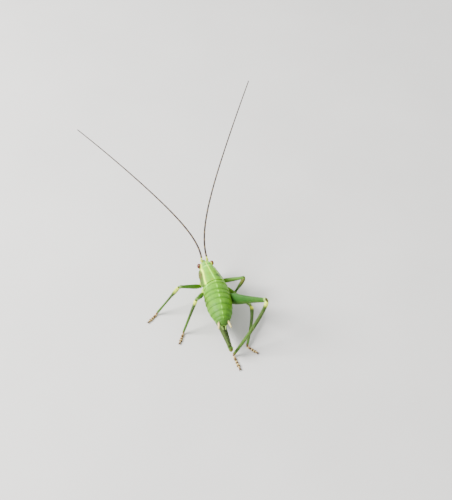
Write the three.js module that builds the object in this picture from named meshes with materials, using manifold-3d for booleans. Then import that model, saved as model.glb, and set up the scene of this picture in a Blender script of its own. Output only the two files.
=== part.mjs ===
// A bush-cricket nymph (a long-horned grasshopper), life size, standing still.
//
// Millimetres. +Z is up, +Y is the way the abdomen points forward and +X is the
// insect's right. It stands on Z = 0 with the middle of its bounding box over the
// origin. Headings are in degrees from +Y, positive to the insect's right; rises
// are in degrees above level. Places on the trunk are given as a station, measured
// back from the brow along the trunk, a distance to the right and a height above
// the trunk's axis.

import * as THREE from 'three';
import { mergeVertices } from 'three/addons/utils/BufferGeometryUtils.js';
import Module from 'manifold-3d';

const wasm = await Module();
wasm.setup();

// ---- driving dimensions ----

const GAP = 0.3;             // clearance between neighbouring pieces
const AXIS_HEIGHT = 5.8;     // trunk axis above the floor at the waist
const WAIST = 8.0;           // station the head and pronotum turn about
const NECK_TURN = 10.0;      // how far they turn to the left, degrees
const TURN_FROM = 10.2;      // the turn starts at this station
const TURN_TO = 7.0;         // and is complete at this one
const SLOPE = 1.84;          // the trunk falls this much towards the head, degrees
const ROLL = 2.9;            // and leans this much to the right
const WAIST_X = 4.74;        // where the waist stands in the bounding box
const WAIST_Y = -13.06;

// Trunk sections: station, half width, height above the axis, depth below it and
// how much wider the flanks are low down.
const TRUNK = [
  [2.3, 1.68, 1.75, 1.45, 0.5],
  [4.6, 2.06, 2.0, 1.85, 0.6],
  [7.1, 2.3, 2.35, 2.15, 0.65],
  [10.0, 2.86, 2.65, 2.35, 0.3],
  [13.0, 2.92, 2.8, 2.45, 0.2],
  [15.8, 2.43, 2.4, 2.2, 0.2],
  [17.6, 1.7, 1.6, 1.6, 0.15],
  [18.6, 1.2, 0.9, 0.95, 0.1],
  [19.1, 0.75, 0.45, 0.5, 0],
];
const FLANK = [-0.5, 0.35];  // the flanks widen between these shares of the depth
const NECK = [2.3, 3.7];
const PROTHORAX = [3.7, 7.35];
const MESOTHORAX = [7.35, 8.6];
const METATHORAX = [8.6, 10.5];
const RING_EDGES = [10.5, 11.76, 13.22, 14.82, 16.34, 17.52, 18.2];
const TAIL_END = 19.1;
const RING_FLARE = 0.03;     // each ring's rear edge stands this much proud
const CORE_INSET = 0.9;      // neck and prothorax lie this deep under the pronotum

// The pronotum is a saddle-shaped shield round the prothorax. reach is how far its
// lobes come down, in degrees from the top; they shorten by taper towards the ends,
// and the rear edge bulges back over the middle.
const PRONOTUM = {
  from: 2.3, to: 7.25, wall: 0.55, proud: 0.08, reach: 116, taper: 0.22, bulge: 0.45,
};

// The head is broad and square across its crown. It narrows, flattens and sets back
// towards the mouth.
const HEAD = { station: 1.6, height: -0.75, radii: [1.62, 1.45, 2.45] };
const CROWN = 2.6;           // power of the crown's outline; 2 would be an ellipse
const MUZZLE = { narrower: 0.3, shallower: 0.15, back: 0.3 };
const BROW = { station: 0.4, height: 0.95, radii: [0.26, 0.42, 0.38] };
const EYE = { station: 1.3, side: 1.6, height: 0.64, radii: [0.48, 0.56, 0.68] };
const SCAPE = { station: 0.62, side: 0.7, height: 0.9, length: 1.2, rise: 48 };
const SCAPE_PROFILE = [[0, 0.3], [0.2, 0.38], [0.6, 0.38], [0.7, 0.28], [1, 0.26]];
const LIP = { station: 0.5, height: -2.75, radii: [0.68, 0.42, 0.75] };
const JAW = { station: 1.25, side: 0.62, height: -3.15, radii: [0.42, 0.5, 0.6] };

// Palp joints: station, side and height, from the mouth outwards.
const LONG_PALP = [[1.7, 1.0, -3.0], [1.3, 1.25, -3.6], [0.7, 1.2, -4.15], [0.4, 1.05, -4.9]];
const SHORT_PALP = [[2.1, 0.45, -3.2], [2.0, 0.55, -3.9], [1.6, 0.6, -4.5]];
const PALP_RADIUS = 0.26;

// The two long feelers leave their scapes at one heading and settle to another.
const FEELERS = {
  left: {
    side: -1, scape: 6, leaves: 0.2, settles: -40.5, over: 0.117, length: 44.7, rise: [25, 12],
  },
  right: {
    side: 1, scape: -4, leaves: -6.5, settles: 30.2, over: 0.15, length: 46.4, rise: [30, 20],
  },
};
const FEELER_RADII = { base: 0.3, middle: 0.27, tip: 0.25 };

// Limb sizes. Each profile lists how far along the limb and the radius there.
const PAIRS = {
  front: {
    femur: 6.55,
    tibia: 8.9,
    tarsus: 3.35,
    femurProfile: [[0, 0.34], [0.12, 0.55], [0.6, 0.49], [0.9, 0.42], [0.96, 0.47], [1, 0.34]],
    tibiaProfile: [[0, 0.3], [0.1, 0.46], [0.22, 0.43], [0.34, 0.31], [1, 0.28]],
    flat: 0.85,
  },
  middle: {
    femur: 7.7,
    tibia: 9.6,
    tarsus: 3.3,
    femurProfile: [[0, 0.34], [0.12, 0.55], [0.6, 0.49], [0.9, 0.42], [0.96, 0.47], [1, 0.34]],
    tibiaProfile: [[0, 0.3], [0.06, 0.42], [0.2, 0.38], [0.5, 0.32], [1, 0.28]],
    flat: 0.85,
  },
  hind: {
    femur: 14.9,
    tibia: 15.45,
    tarsus: 4.3,
    femurProfile: [[0, 0.5], [0.06, 1.1], [0.18, 1.45], [0.28, 1.42], [0.45, 1.14],
      [0.62, 0.88], [0.85, 0.66], [0.94, 0.6], [0.975, 0.7], [1, 0.48]],
    tibiaProfile: [[0, 0.34], [0.04, 0.48], [0.12, 0.43], [0.35, 0.42], [0.65, 0.38], [1, 0.34]],
    flat: 0.65,
  },
};

// Stance. hip is station, side and height; femur is heading and rise; the tibia
// takes the pitch that brings its foot to the floor; bow is how far its upper
// part stands out to the side, and sag how far it hangs. The left hind leg is
// folded under the body: its tibia's root lies this far to the right, forward and
// up from the femur's end.
const LEGS = {
  left_front: {
    pair: 'front', side: -1, hip: [5.0, 2.45, -2.35],
    femur: [-109.9, 32.7], tibia: -106.5, tarsus: -131.6,
  },
  right_front: {
    pair: 'front', side: 1, hip: [5.0, 2.45, -2.35],
    femur: [112.4, 27.1], tibia: -122.2, sag: 0.3, tarsus: 172,
  },
  left_middle: {
    pair: 'middle', side: -1, hip: [7.6, 2.9, -2.2],
    femur: [-157.4, 43.9], tibia: -122.7, tarsus: -153.9,
  },
  right_middle: {
    pair: 'middle', side: 1, hip: [7.6, 2.7, -1.6],
    femur: [140, -4.2], tibia: -163, bow: 0.45, tarsus: 137.8,
  },
  left_hind: {
    pair: 'hind', side: -1, hip: [9.35, 1.2, -3.85],
    femur: [173, 7.9], tibia: -1, tarsus: -5, folded: [0.25, -0.3, -0.95],
  },
  right_hind: {
    pair: 'hind', side: 1, hip: [9.9, 2.3, -2.5],
    femur: [140, 38.8], tibia: -120, bow: 0.65, tarsus: 168.8,
  },
};
const SOCKET_SHIFT = [-0.25, -0.75, 1.25];  // from a hip to the top of its coxa
const COXA_PROFILE = [[0, 0.4], [0.3, 0.68], [0.75, 0.56], [1, 0.38]];
const ANKLE_HEIGHT = 0.5;
const SOLE_HEIGHT = 0.2;     // the foot's own axis above the floor

// Foot joints: where each begins and ends along the foot, its radius and its width.
const FOOT_JOINTS = [[0, 0.36, 0.3, 1], [0.34, 0.54, 0.28, 1.15], [0.52, 0.74, 0.28, 1.5],
  [0.66, 0.94, 0.26, 1]];
const CLAW = { from: 0.86, lift: 0.1, spread: 0.3, drop: -0.08, profile: [[0, 0.2], [1, 0.13]] };

const CERCUS = { station: 18.6, side: 1.1, height: 0.35, aim: [12, -8], length: 1.6 };
const CERCUS_PROFILE = [[0, 0.3], [0.5, 0.28], [1, 0.2]];
const VALVE = { station: 18.6, side: 0.5, height: -0.6, aim: [-10, 5], length: 1.5 };
const VALVE_PROFILE = [[0, 0.45], [0.4, 0.42], [1, 0.15]];

const BOW_PEAK = 2 / 3;      // power that sets the bow's peak a third of the way down
const LIMB_SIDES = 8;
const SMALL_SIDES = 6;
const PALP_SIDES = 5;
const RING_SIDES = 18;
const FEELER_STEPS = 7;      // steps along each third of a feeler

const COLOURS = {
  leaf: '#8fbb5b',
  pale: '#a5d67a',
  femur: '#6ba04a',
  tibia: '#7d9a4a',
  foot: '#8f6f5c',
  eye: '#6b2a1e',
  feeler: '#6b5a33',
  cream: '#e6dcb0',
};

// ---- helpers ----

const radians = THREE.MathUtils.degToRad;
const UP = new THREE.Vector3(0, 0, 1);
const FORWARD = new THREE.Vector3(0, 1, 0);

function aim(heading, rise) {
  const level = Math.cos(radians(rise));
  return new THREE.Vector3(
    Math.sin(radians(heading)) * level,
    Math.cos(radians(heading)) * level,
    Math.sin(radians(rise)),
  );
}

// Turns a geometry into a solid that can be cut and joined.
function solidOf(geometry) {
  const bare = geometry.clone();
  bare.deleteAttribute('normal');
  bare.deleteAttribute('uv');
  const merged = mergeVertices(bare, 1e-4);
  const corners = merged.index.array;
  const kept = [];
  for (let i = 0; i < corners.length; i += 3) {
    const [a, b, c] = [corners[i], corners[i + 1], corners[i + 2]];
    if (a !== b && b !== c && c !== a) kept.push(a, b, c);
  }
  return new wasm.Manifold(new wasm.Mesh({
    numProp: 3,
    vertProperties: new Float32Array(merged.attributes.position.array),
    triVerts: new Uint32Array(kept),
  }));
}

// Moves every vertex of a geometry to place(x, y, z).
function shaped(geometry, place) {
  const positions = geometry.attributes.position;
  for (let i = 0; i < positions.count; i += 1) {
    const point = place(positions.getX(i), positions.getY(i), positions.getZ(i));
    positions.setXYZ(i, point.x, point.y, point.z);
  }
  return geometry;
}

// The biggest piece left after cutting neighbours away.
function largest(solid) {
  const pieces = solid.decompose();
  return pieces.reduce((best, piece) => (piece.volume() > best.volume() ? piece : best));
}

function carved(solid, ...neighbours) {
  return largest(neighbours.reduce((left, other) => left.subtract(other), solid));
}

function joined(solids) {
  return solids.reduce((whole, other) => whole.add(other));
}

const model = new THREE.Group();

function addPart(name, solid, colour, roughness = 0.5) {
  const mesh = solid.getMesh();
  const geometry = new THREE.BufferGeometry();
  geometry.setAttribute('position', new THREE.BufferAttribute(mesh.vertProperties, 3));
  geometry.setIndex(new THREE.BufferAttribute(mesh.triVerts, 1));
  geometry.computeVertexNormals();
  const material = new THREE.MeshStandardMaterial({ color: colour, roughness, metalness: 0 });
  const part = new THREE.Mesh(geometry, material);
  part.name = name;
  model.add(part);
}

// ---- trunk ----

const trunkSizes = new THREE.CubicInterpolant(
  TRUNK.map((row) => row[0]),
  TRUNK.flatMap((row) => row.slice(1)),
  4,
);

// A place beside the trunk's axis, after the trunk's lean, turn and slope.
function onTrunk(station, side, height) {
  const turn = NECK_TURN * THREE.MathUtils.smoothstep(-station, -TURN_FROM, -TURN_TO);
  const point = new THREE.Vector3(side, WAIST - station, height);
  point.applyAxisAngle(FORWARD, radians(ROLL)).applyAxisAngle(UP, radians(turn));
  point.z += AXIS_HEIGHT - Math.tan(radians(SLOPE)) * (WAIST - station);
  return point;
}

function trunkSkin(station, x, z, inset = 0) {
  const [half, above, below, flank] = trunkSizes.evaluate(station);
  const reach = z > 0 ? above : below;
  const wide = half + flank * THREE.MathUtils.smoothstep(-z, ...FLANK);
  return onTrunk(station, x * (wide - inset), z * (reach - inset));
}

// A length of the trunk, closed by flat ends, half a gap short at each.
function trunkLength(from, to, { rows = 2, inset = 0, flare = 0, sides = RING_SIDES } = {}) {
  const drum = new THREE.CylinderGeometry(1, 1, 1, sides, rows);
  const front = from + GAP / 2;
  const rear = to - GAP / 2;
  return solidOf(shaped(drum, (x, y, z) => {
    const along = 0.5 - y;
    const station = THREE.MathUtils.lerp(front, rear, along);
    const swell = 1 + flare * (along - 0.5);
    return trunkSkin(station, x * swell, z * swell, inset);
  }));
}

// The shield: a sheet bent over the back, deepest at its side lobes.
function pronotumShield(grow = 0) {
  const sheet = new THREE.BoxGeometry(2, 1, 1, 14, 4, 1);
  return solidOf(shaped(sheet, (x, y, z) => {
    const along = 0.5 - y;
    const edge = 1 - PRONOTUM.taper * (2 * along - 1) ** 2;
    const lobe = (radians(PRONOTUM.reach) + grow / trunkSizes.evaluate(PRONOTUM.to)[0]) * x * edge;
    const rearCurve = PRONOTUM.bulge * Math.cos(lobe) * along ** 4;
    const front = PRONOTUM.from - grow;
    const rear = PRONOTUM.to + grow;
    const station = THREE.MathUtils.lerp(front, rear, along) + rearCurve;
    const inset = THREE.MathUtils.lerp(PRONOTUM.wall + grow, -PRONOTUM.proud - grow, z + 0.5);
    return trunkSkin(station, Math.sin(lobe), Math.cos(lobe), inset);
  }));
}

// ---- head ----

function headSolid(grow = 0) {
  const [wide, deep, tall] = HEAD.radii;
  const ball = new THREE.SphereGeometry(1, 14, 10);
  ball.rotateX(Math.PI / 2);
  return solidOf(shaped(ball, (x, y, z) => {
    const mouth = THREE.MathUtils.smoothstep(-z, -0.3, 1);
    const square = z > 0 && z < 1 ? (1 - z ** CROWN) ** (1 / CROWN) / Math.sqrt(1 - z * z) : 1;
    const side = x * square * (wide * (1 - MUZZLE.narrower * mouth) + grow);
    const forward = y * (deep * (1 - MUZZLE.shallower * mouth) + grow);
    const station = HEAD.station - forward + MUZZLE.back * mouth;
    return onTrunk(station, side, HEAD.height + z * (tall + grow));
  }));
}

// An ellipsoid beside the trunk's axis; radii run right, forward and up.
function ovoid({ station, side = 0, height, radii }, sign = 1, grow = 0) {
  const ball = new THREE.SphereGeometry(1, 10, 7);
  ball.rotateX(Math.PI / 2);
  return solidOf(shaped(ball, (x, y, z) => onTrunk(
    station - y * (radii[1] + grow),
    side * sign + x * (radii[0] + grow),
    height + z * (radii[2] + grow),
  )));
}

// ---- limbs ----

// A turned limb from one point to another, flattened sideways, bowed and sagging.
function limb(from, to, profile, options = {}) {
  const { flat = 1, bow = 0, sag = 0, grow = 0, sides = LIMB_SIDES } = options;
  const along = new THREE.Vector3().subVectors(to, from);
  const length = along.length();
  along.normalize();
  const outline = [new THREE.Vector2(0, -grow)];
  for (const [reach, radius] of profile) {
    outline.push(new THREE.Vector2(radius + grow, reach * (length + 2 * grow) - grow));
  }
  outline.push(new THREE.Vector2(0, length + grow));
  const turned = new THREE.LatheGeometry(outline, sides);
  const thin = (flat * profile[1][1] + grow) / (profile[1][1] + grow);
  shaped(turned, (x, y, z) => {
    const reach = THREE.MathUtils.clamp(y / length, 0, 1);
    const bend = Math.sin(Math.PI * reach ** BOW_PEAK);
    return new THREE.Vector3(x * thin - bow * bend, y, z - sag * bend);
  });
  const across = new THREE.Vector3().crossVectors(along, UP).normalize();
  const top = new THREE.Vector3().crossVectors(across, along);
  const frame = new THREE.Matrix4().makeBasis(across, along, top).setPosition(from);
  return solidOf(turned.applyMatrix4(frame));
}

// A run of short limbs through a list of points, as one piece.
function chain(points, radius) {
  const profile = [[0, radius * 0.85], [0.2, radius], [1, radius * 0.85]];
  const links = [];
  for (let i = 1; i < points.length; i += 1) {
    const back = points[i - 1].clone().lerp(points[i], -0.12);
    links.push(limb(back, points[i], profile, { sides: PALP_SIDES }));
  }
  return joined(links);
}

const floor = solidOf(new THREE.BoxGeometry(200, 200, 4).translate(0, 0, -2));

// Four joints on the floor and a pair of claws, with flat soles at Z = 0.
function footSolid(ankle, heading, length) {
  const start = new THREE.Vector3(ankle.x, ankle.y, SOLE_HEIGHT);
  const at = (reach, lift = 0) => start.clone()
    .addScaledVector(aim(heading, 0), reach * length)
    .addScaledVector(UP, lift);
  const pieces = FOOT_JOINTS.map(([from, to, radius, flat]) => limb(
    at(from),
    at(to),
    [[0, radius * 0.75], [0.4, radius], [1, radius * 0.8]],
    { flat, sides: SMALL_SIDES },
  ));
  for (const side of [-1, 1]) {
    const tip = at(1, CLAW.drop).addScaledVector(aim(heading + 90 * side, 0), CLAW.spread);
    pieces.push(limb(at(CLAW.from, CLAW.lift), tip, CLAW.profile, { sides: SMALL_SIDES }));
  }
  return carved(joined(pieces), floor);
}

// Where a leg's joints are.
function legJoints(leg) {
  const pair = PAIRS[leg.pair];
  const [station, side, height] = leg.hip;
  const [back, inward, lift] = SOCKET_SHIFT;
  const hip = onTrunk(station, side * leg.side, height);
  const socket = onTrunk(station + back, (side + inward) * leg.side, height + lift);
  const knee = hip.clone().addScaledVector(aim(...leg.femur), pair.femur);
  const root = knee.clone().add(new THREE.Vector3(...leg.folded ?? [0, 0, 0]));
  const pitch = THREE.MathUtils.radToDeg(Math.asin((ANKLE_HEIGHT - root.z) / pair.tibia));
  const ankle = root.clone().addScaledVector(aim(leg.tibia, pitch), pair.tibia);
  return { pair, hip, socket, knee, root, ankle };
}

// ---- legs ----

const legRoom = { front: [], middle: [], hind: [] };
for (const [name, leg] of Object.entries(LEGS)) {
  const { pair, hip, socket, knee, root, ankle } = legJoints(leg);
  const coxa = (grow) => limb(socket, hip, COXA_PROFILE, { grow });
  const femur = (grow) => limb(hip, knee, pair.femurProfile, { flat: pair.flat, grow });
  const { bow, sag } = leg;
  const tibia = (grow) => limb(root, ankle, pair.tibiaProfile, { bow, sag, grow });
  legRoom[leg.pair].push(coxa(GAP), femur(GAP));
  addPart(`${name}_coxa`, coxa(0), COLOURS.pale);
  addPart(`${name}_femur`, carved(femur(0), coxa(GAP), tibia(GAP)), COLOURS.femur);
  addPart(`${name}_tibia`, tibia(0), COLOURS.tibia);
  const foot = footSolid(ankle, leg.tarsus, pair.tarsus);
  addPart(`${name}_foot`, carved(foot, tibia(GAP)), COLOURS.foot);
}

// ---- head and what grows from it ----

function scapeEnds(feeler) {
  const root = onTrunk(SCAPE.station, SCAPE.side * feeler.side, SCAPE.height);
  const forward = aim(feeler.scape, SCAPE.rise);
  return [root, root.clone().addScaledVector(forward, SCAPE.length)];
}

const SIDES = { left: -1, right: 1 };
const faceRoom = headSolid(GAP);
const lipRoom = ovoid(LIP, 1, GAP);
const sockets = [];
for (const [word, side] of Object.entries(SIDES)) {
  const scape = (grow) => limb(...scapeEnds(FEELERS[word]), SCAPE_PROFILE, { grow });
  sockets.push(ovoid(EYE, side, GAP), scape(GAP));
  addPart(`${word}_eye`, ovoid(EYE, side), COLOURS.eye, 0.2);
  addPart(`${word}_scape`, scape(0), COLOURS.leaf);
  addPart(`${word}_mandible`, carved(ovoid(JAW, side), faceRoom, lipRoom), COLOURS.leaf);
  const mouthRoom = [faceRoom, ovoid(JAW, side, GAP)];
  for (const [size, joints] of Object.entries({ long: LONG_PALP, short: SHORT_PALP })) {
    const points = joints.map(([station, out, height]) => onTrunk(station, out * side, height));
    addPart(`${word}_${size}_palp`, carved(chain(points, PALP_RADIUS), ...mouthRoom), COLOURS.leaf);
  }
}
addPart('head', carved(headSolid().add(ovoid(BROW)), ...sockets), COLOURS.pale);
addPart('upper_lip', carved(ovoid(LIP), faceRoom), COLOURS.pale);

// ---- trunk pieces ----

const core = { inset: CORE_INSET, sides: 14 };
const neck = trunkLength(...NECK, { ...core, rows: 1 });
const prothorax = trunkLength(...PROTHORAX, core);
const mesothorax = trunkLength(...MESOTHORAX);
const metathorax = trunkLength(...METATHORAX);
addPart('neck', carved(neck, faceRoom), COLOURS.pale);
addPart('prothorax', carved(prothorax, ...legRoom.front), COLOURS.pale);
addPart('pronotum', carved(pronotumShield(), faceRoom, ...legRoom.front), COLOURS.pale);
addPart('mesothorax', carved(mesothorax, pronotumShield(GAP), ...legRoom.middle), COLOURS.pale);
addPart('metathorax', carved(metathorax, ...legRoom.middle, ...legRoom.hind), COLOURS.pale);

for (let ring = 1; ring < RING_EDGES.length; ring += 1) {
  const length = trunkLength(RING_EDGES[ring - 1], RING_EDGES[ring], { flare: RING_FLARE });
  addPart(`abdomen_${ring}`, carved(length, ...legRoom.hind), COLOURS.leaf);
}
const lastRing = RING_EDGES.at(-1);
addPart('abdomen_tail', trunkLength(lastRing, TAIL_END, { rows: 3 }), COLOURS.leaf);
const tailRoom = trunkLength(lastRing, TAIL_END + 1.5 * GAP, { rows: 3, inset: -GAP });

// A short piece that trails from the end of the abdomen.
function trailing(spec, side, profile, flat) {
  const root = onTrunk(spec.station, spec.side * side, spec.height);
  const back = aim(180 - spec.aim[0] * side, spec.aim[1]);
  const tip = root.clone().addScaledVector(back, spec.length);
  return carved(limb(root, tip, profile, { flat, sides: SMALL_SIDES }), tailRoom);
}

for (const [word, side] of Object.entries(SIDES)) {
  addPart(`${word}_cercus`, trailing(CERCUS, side, CERCUS_PROFILE, 1), COLOURS.cream);
  addPart(`${word}_valve`, trailing(VALVE, side, VALVE_PROFILE, 0.6), COLOURS.pale);
}

// ---- feelers ----

// A feeler's route: its heading settles from one value to another as it goes.
function feelerRoute(feeler) {
  const steps = 36;
  const point = scapeEnds(feeler)[1];
  const route = [point.clone()];
  for (let step = 0; step < steps; step += 1) {
    const along = (step + 0.5) / steps;
    const settling = Math.exp(-along / feeler.over);
    const heading = feeler.settles + (feeler.leaves - feeler.settles) * settling;
    const rise = THREE.MathUtils.lerp(...feeler.rise, along);
    point.addScaledVector(aim(heading, rise), feeler.length / steps);
    route.push(point.clone());
  }
  return new THREE.CatmullRomCurve3(route);
}

// A round tube along part of a curve, closed at both ends.
function tube(curve, from, to, radius) {
  const points = [];
  for (let i = 0; i <= FEELER_STEPS; i += 1) {
    points.push(curve.getPointAt(THREE.MathUtils.lerp(from, to, i / FEELER_STEPS)));
  }
  const circle = new THREE.Shape().absarc(0, 0, radius, 0, 2 * Math.PI);
  return solidOf(new THREE.ExtrudeGeometry(circle, {
    steps: FEELER_STEPS,
    curveSegments: 3,
    extrudePath: new THREE.CatmullRomCurve3(points),
  }));
}

for (const [word, feeler] of Object.entries(FEELERS)) {
  const curve = feelerRoute(feeler);
  const clear = GAP / feeler.length;
  Object.entries(FEELER_RADII).forEach(([third, radius], i) => {
    const solid = tube(curve, i / 3 + clear, (i + 1) / 3, radius);
    addPart(`${word}_feeler_${third}`, solid, COLOURS.feeler);
  });
}

// Stand the waist at its place in the bounding box.
for (const part of model.children) part.geometry.translate(WAIST_X, WAIST_Y, 0);

export default model;
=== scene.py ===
"""Looks of a bush-cricket nymph (a long-horned grasshopper), life size, standing still.

Sizes are millimetres until a mesh is made, and metres from there on. +Y is the way
the abdomen points forward, +X the insect's right and +Z up. Headings are degrees from
+Y towards the right, rises degrees above level. Places on the trunk are a station,
measured back from the brow, a distance to the right and a height above its axis.
"""

import math
from types import SimpleNamespace

import bmesh
import bpy
import numpy as np
from bpy.props import FloatProperty, FloatVectorProperty, IntProperty, PointerProperty
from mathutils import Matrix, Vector


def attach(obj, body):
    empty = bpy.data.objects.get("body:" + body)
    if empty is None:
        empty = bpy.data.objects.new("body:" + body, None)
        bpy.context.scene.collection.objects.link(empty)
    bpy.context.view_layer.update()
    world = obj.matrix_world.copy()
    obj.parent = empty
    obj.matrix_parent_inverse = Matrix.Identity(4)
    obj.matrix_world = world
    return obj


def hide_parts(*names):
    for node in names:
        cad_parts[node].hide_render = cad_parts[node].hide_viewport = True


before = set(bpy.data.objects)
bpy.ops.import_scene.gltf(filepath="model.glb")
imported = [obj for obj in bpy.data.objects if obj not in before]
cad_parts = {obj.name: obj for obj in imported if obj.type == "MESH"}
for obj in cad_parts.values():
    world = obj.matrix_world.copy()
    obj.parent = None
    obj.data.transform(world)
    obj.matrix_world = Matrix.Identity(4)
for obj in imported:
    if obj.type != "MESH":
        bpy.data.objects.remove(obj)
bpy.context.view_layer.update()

bl_info = {
    "name": "Bush-cricket nymph",
    "version": (1, 0, 0),
    "blender": (4, 5, 0),
    "location": "3D View > Sidebar > Cricket",
    "description": "Builds the skin, shield, eyes, feelers, claws, spines and hairs of a nymph",
    "category": "Object",
}

MM = 0.001
UP = np.array([0.0, 0.0, 1.0])
SIDES = {"left": -1, "right": 1}

# ---- sizes shared with the CAD part ----

AXIS_HEIGHT = 5.8         # of the trunk's axis over the floor, at the waist
WAIST = 8.0               # the waist's station
NECK_TURN = 10.0          # how far head and shield turn to the left, degrees
TURN_FROM = 10.2          # the turn starts at this station
TURN_TO = 7.0             # and is complete at this one
SLOPE = 1.84              # the trunk falls this much towards the head, degrees
ROLL = 2.9                # and leans this much to the right
WAIST_AT = (4.74, -13.06)

# Trunk sections: station, half width, height above the axis, depth below it and how
# much wider the flanks are low down.
TRUNK = [
    [2.3, 1.68, 1.75, 1.45, 0.5],
    [4.6, 2.06, 2.0, 1.85, 0.6],
    [7.1, 2.3, 2.35, 2.15, 0.65],
    [10.0, 2.86, 2.65, 2.35, 0.3],
    [13.0, 2.92, 2.8, 2.45, 0.2],
    [15.8, 2.43, 2.4, 2.2, 0.2],
    [17.6, 1.7, 1.6, 1.6, 0.15],
    [18.6, 1.2, 0.9, 0.95, 0.1],
    [19.1, 0.75, 0.45, 0.5, 0],
]
FLANK = (-0.5, 0.35)      # the flanks widen between these shares of the depth
SHIELD = SimpleNamespace(start=2.3, end=7.25, proud=0.08, reach=116.0, taper=0.22, bulge=0.45)
HEAD = SimpleNamespace(station=1.6, height=-0.75, radii=(1.62, 1.45, 2.45))
CROWN = 2.6               # power of the crown's outline; 2 would be an ellipse
MUZZLE = SimpleNamespace(narrower=0.3, shallower=0.15, back=0.3)
BROW = SimpleNamespace(station=0.4, height=0.95, radii=(0.26, 0.42, 0.38))
EYE = SimpleNamespace(station=1.3, side=1.6, height=0.64, radii=(0.48, 0.56, 0.68))
SCAPE = SimpleNamespace(station=0.62, side=0.7, height=0.9, length=1.2, rise=48.0)
LIP = SimpleNamespace(station=0.5, height=-2.75, radii=(0.68, 0.42, 0.75))
JAW = SimpleNamespace(station=1.25, side=0.62, height=-3.15, radii=(0.42, 0.5, 0.6))
LONG_PALP = [(1.7, 1.0, -3.0), (1.3, 1.25, -3.6), (0.7, 1.2, -4.15), (0.4, 1.05, -4.9)]
SHORT_PALP = [(2.1, 0.45, -3.2), (2.0, 0.55, -3.9), (1.6, 0.6, -4.5)]
FEELERS = {
    "left": SimpleNamespace(
        side=-1, scape=6.0, leaves=0.2, settles=-40.5, over=0.117, length=44.7, rise=(25, 12)),
    "right": SimpleNamespace(
        side=1, scape=-4.0, leaves=-6.5, settles=30.2, over=0.15, length=46.4, rise=(30, 20)),
}
SLENDER_FEMUR = [[0, 0.34], [0.12, 0.55], [0.6, 0.49], [0.9, 0.42], [0.96, 0.47], [1, 0.38]]
PAIRS = {
    "front": SimpleNamespace(
        femur=6.55, tibia=8.9, tarsus=3.35, flat=0.85, femur_profile=SLENDER_FEMUR,
        tibia_profile=[[0, 0.3], [0.1, 0.46], [0.22, 0.43], [0.34, 0.31], [1, 0.28]]),
    "middle": SimpleNamespace(
        femur=7.7, tibia=9.6, tarsus=3.3, flat=0.85, femur_profile=SLENDER_FEMUR,
        tibia_profile=[[0, 0.3], [0.06, 0.42], [0.2, 0.38], [0.5, 0.32], [1, 0.28]]),
    "hind": SimpleNamespace(
        femur=14.9, tibia=15.45, tarsus=4.3, flat=0.65,
        femur_profile=[[0, 0.5], [0.06, 1.1], [0.18, 1.45], [0.28, 1.42], [0.45, 1.14],
                       [0.62, 0.88], [0.85, 0.66], [0.94, 0.6], [0.975, 0.7], [1, 0.55]],
        tibia_profile=[[0, 0.34], [0.04, 0.48], [0.12, 0.43], [0.35, 0.42], [0.65, 0.38],
                       [1, 0.34]]),
}


def stance(pair, side, **said):
    """How a leg stands and how its knee is marked, straight and plain unless it says more.

    pale is how light the femur's end is, ring how dark the joint itself, and patch the
    length of the cream patch below it.
    """
    usual = {"bow": 0.0, "sag": 0.0, "folded": (0, 0, 0), "patch": 0.0, "pale": 0.0, "ring": 0.1}
    return SimpleNamespace(pair=pair, side=side, **{**usual, **said})


LEGS = (
    stance("front", -1, hip=(5.0, 2.45, -2.35), femur=(-109.9, 32.7), tibia=-106.5,
           tarsus=-131.6, patch=1.1, pale=0.35),
    stance("front", 1, hip=(5.0, 2.45, -2.35), femur=(112.4, 27.1), tibia=-122.2,
           tarsus=172.0, sag=0.3, ring=0.3),
    stance("middle", -1, hip=(7.6, 2.9, -2.2), femur=(-157.4, 43.9), tibia=-122.7,
           tarsus=-153.9, patch=0.6, pale=0.4),
    stance("middle", 1, hip=(7.6, 2.7, -1.6), femur=(140.0, -4.2), tibia=-163.0,
           tarsus=137.8, bow=0.45, patch=0.35, pale=0.6, ring=0.6),
    # The tucked left hind leg: its femur is painted dark as painted shade, since it lies in the
    # abdomen's shadow.
    stance("hind", -1, hip=(9.35, 1.2, -3.85), femur=(173.0, 7.9), tibia=-1.0,
           tarsus=-5.0, folded=(0.25, -0.3, -0.95)),
    stance("hind", 1, hip=(9.9, 2.3, -2.5), femur=(140.0, 38.8), tibia=-120.0,
           tarsus=168.8, bow=0.65, patch=0.6, pale=0.85, ring=0.9),
)
SOCKET_SHIFT = (-0.25, -0.75, 1.25)  # from a hip to the top of its coxa
COXA_PROFILE = [[0, 0.55], [0.5, 0.66], [0.82, 0.55], [1, 0.38]]
BOW_PEAK = 2 / 3          # power that sets a bent tibia's bend nearer its root
ANKLE_HEIGHT = 0.5
SOLE_HEIGHT = 0.2
# Joints of a foot: where each begins and ends along it, its radius and its width.
FOOT_JOINTS = [(0.0, 0.36, 0.29, 1.0), (0.34, 0.54, 0.27, 1.15), (0.52, 0.74, 0.26, 1.5),
               (0.66, 0.94, 0.2, 1.0)]
HEART_JOINT, LAST_JOINT = 2, 3
CLAW = SimpleNamespace(start=0.88, spread=0.3, drop=-0.08)
CERCUS = SimpleNamespace(
    station=18.6, side=1.1, height=0.35, aim=(12.0, -8.0), length=1.6, flat=1.0, hairs=1.2,
    profile=[[0, 0.26], [0.35, 0.24], [0.8, 0.17], [1, 0.1]])
VALVE = SimpleNamespace(
    station=18.6, side=0.5, height=-0.6, aim=(-10.0, 5.0), length=1.5, flat=0.55, hairs=0.4,
    profile=[[0, 0.4], [0.4, 0.38], [0.8, 0.22], [1, 0.12]])

# ---- sizes of the looks alone ----

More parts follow.
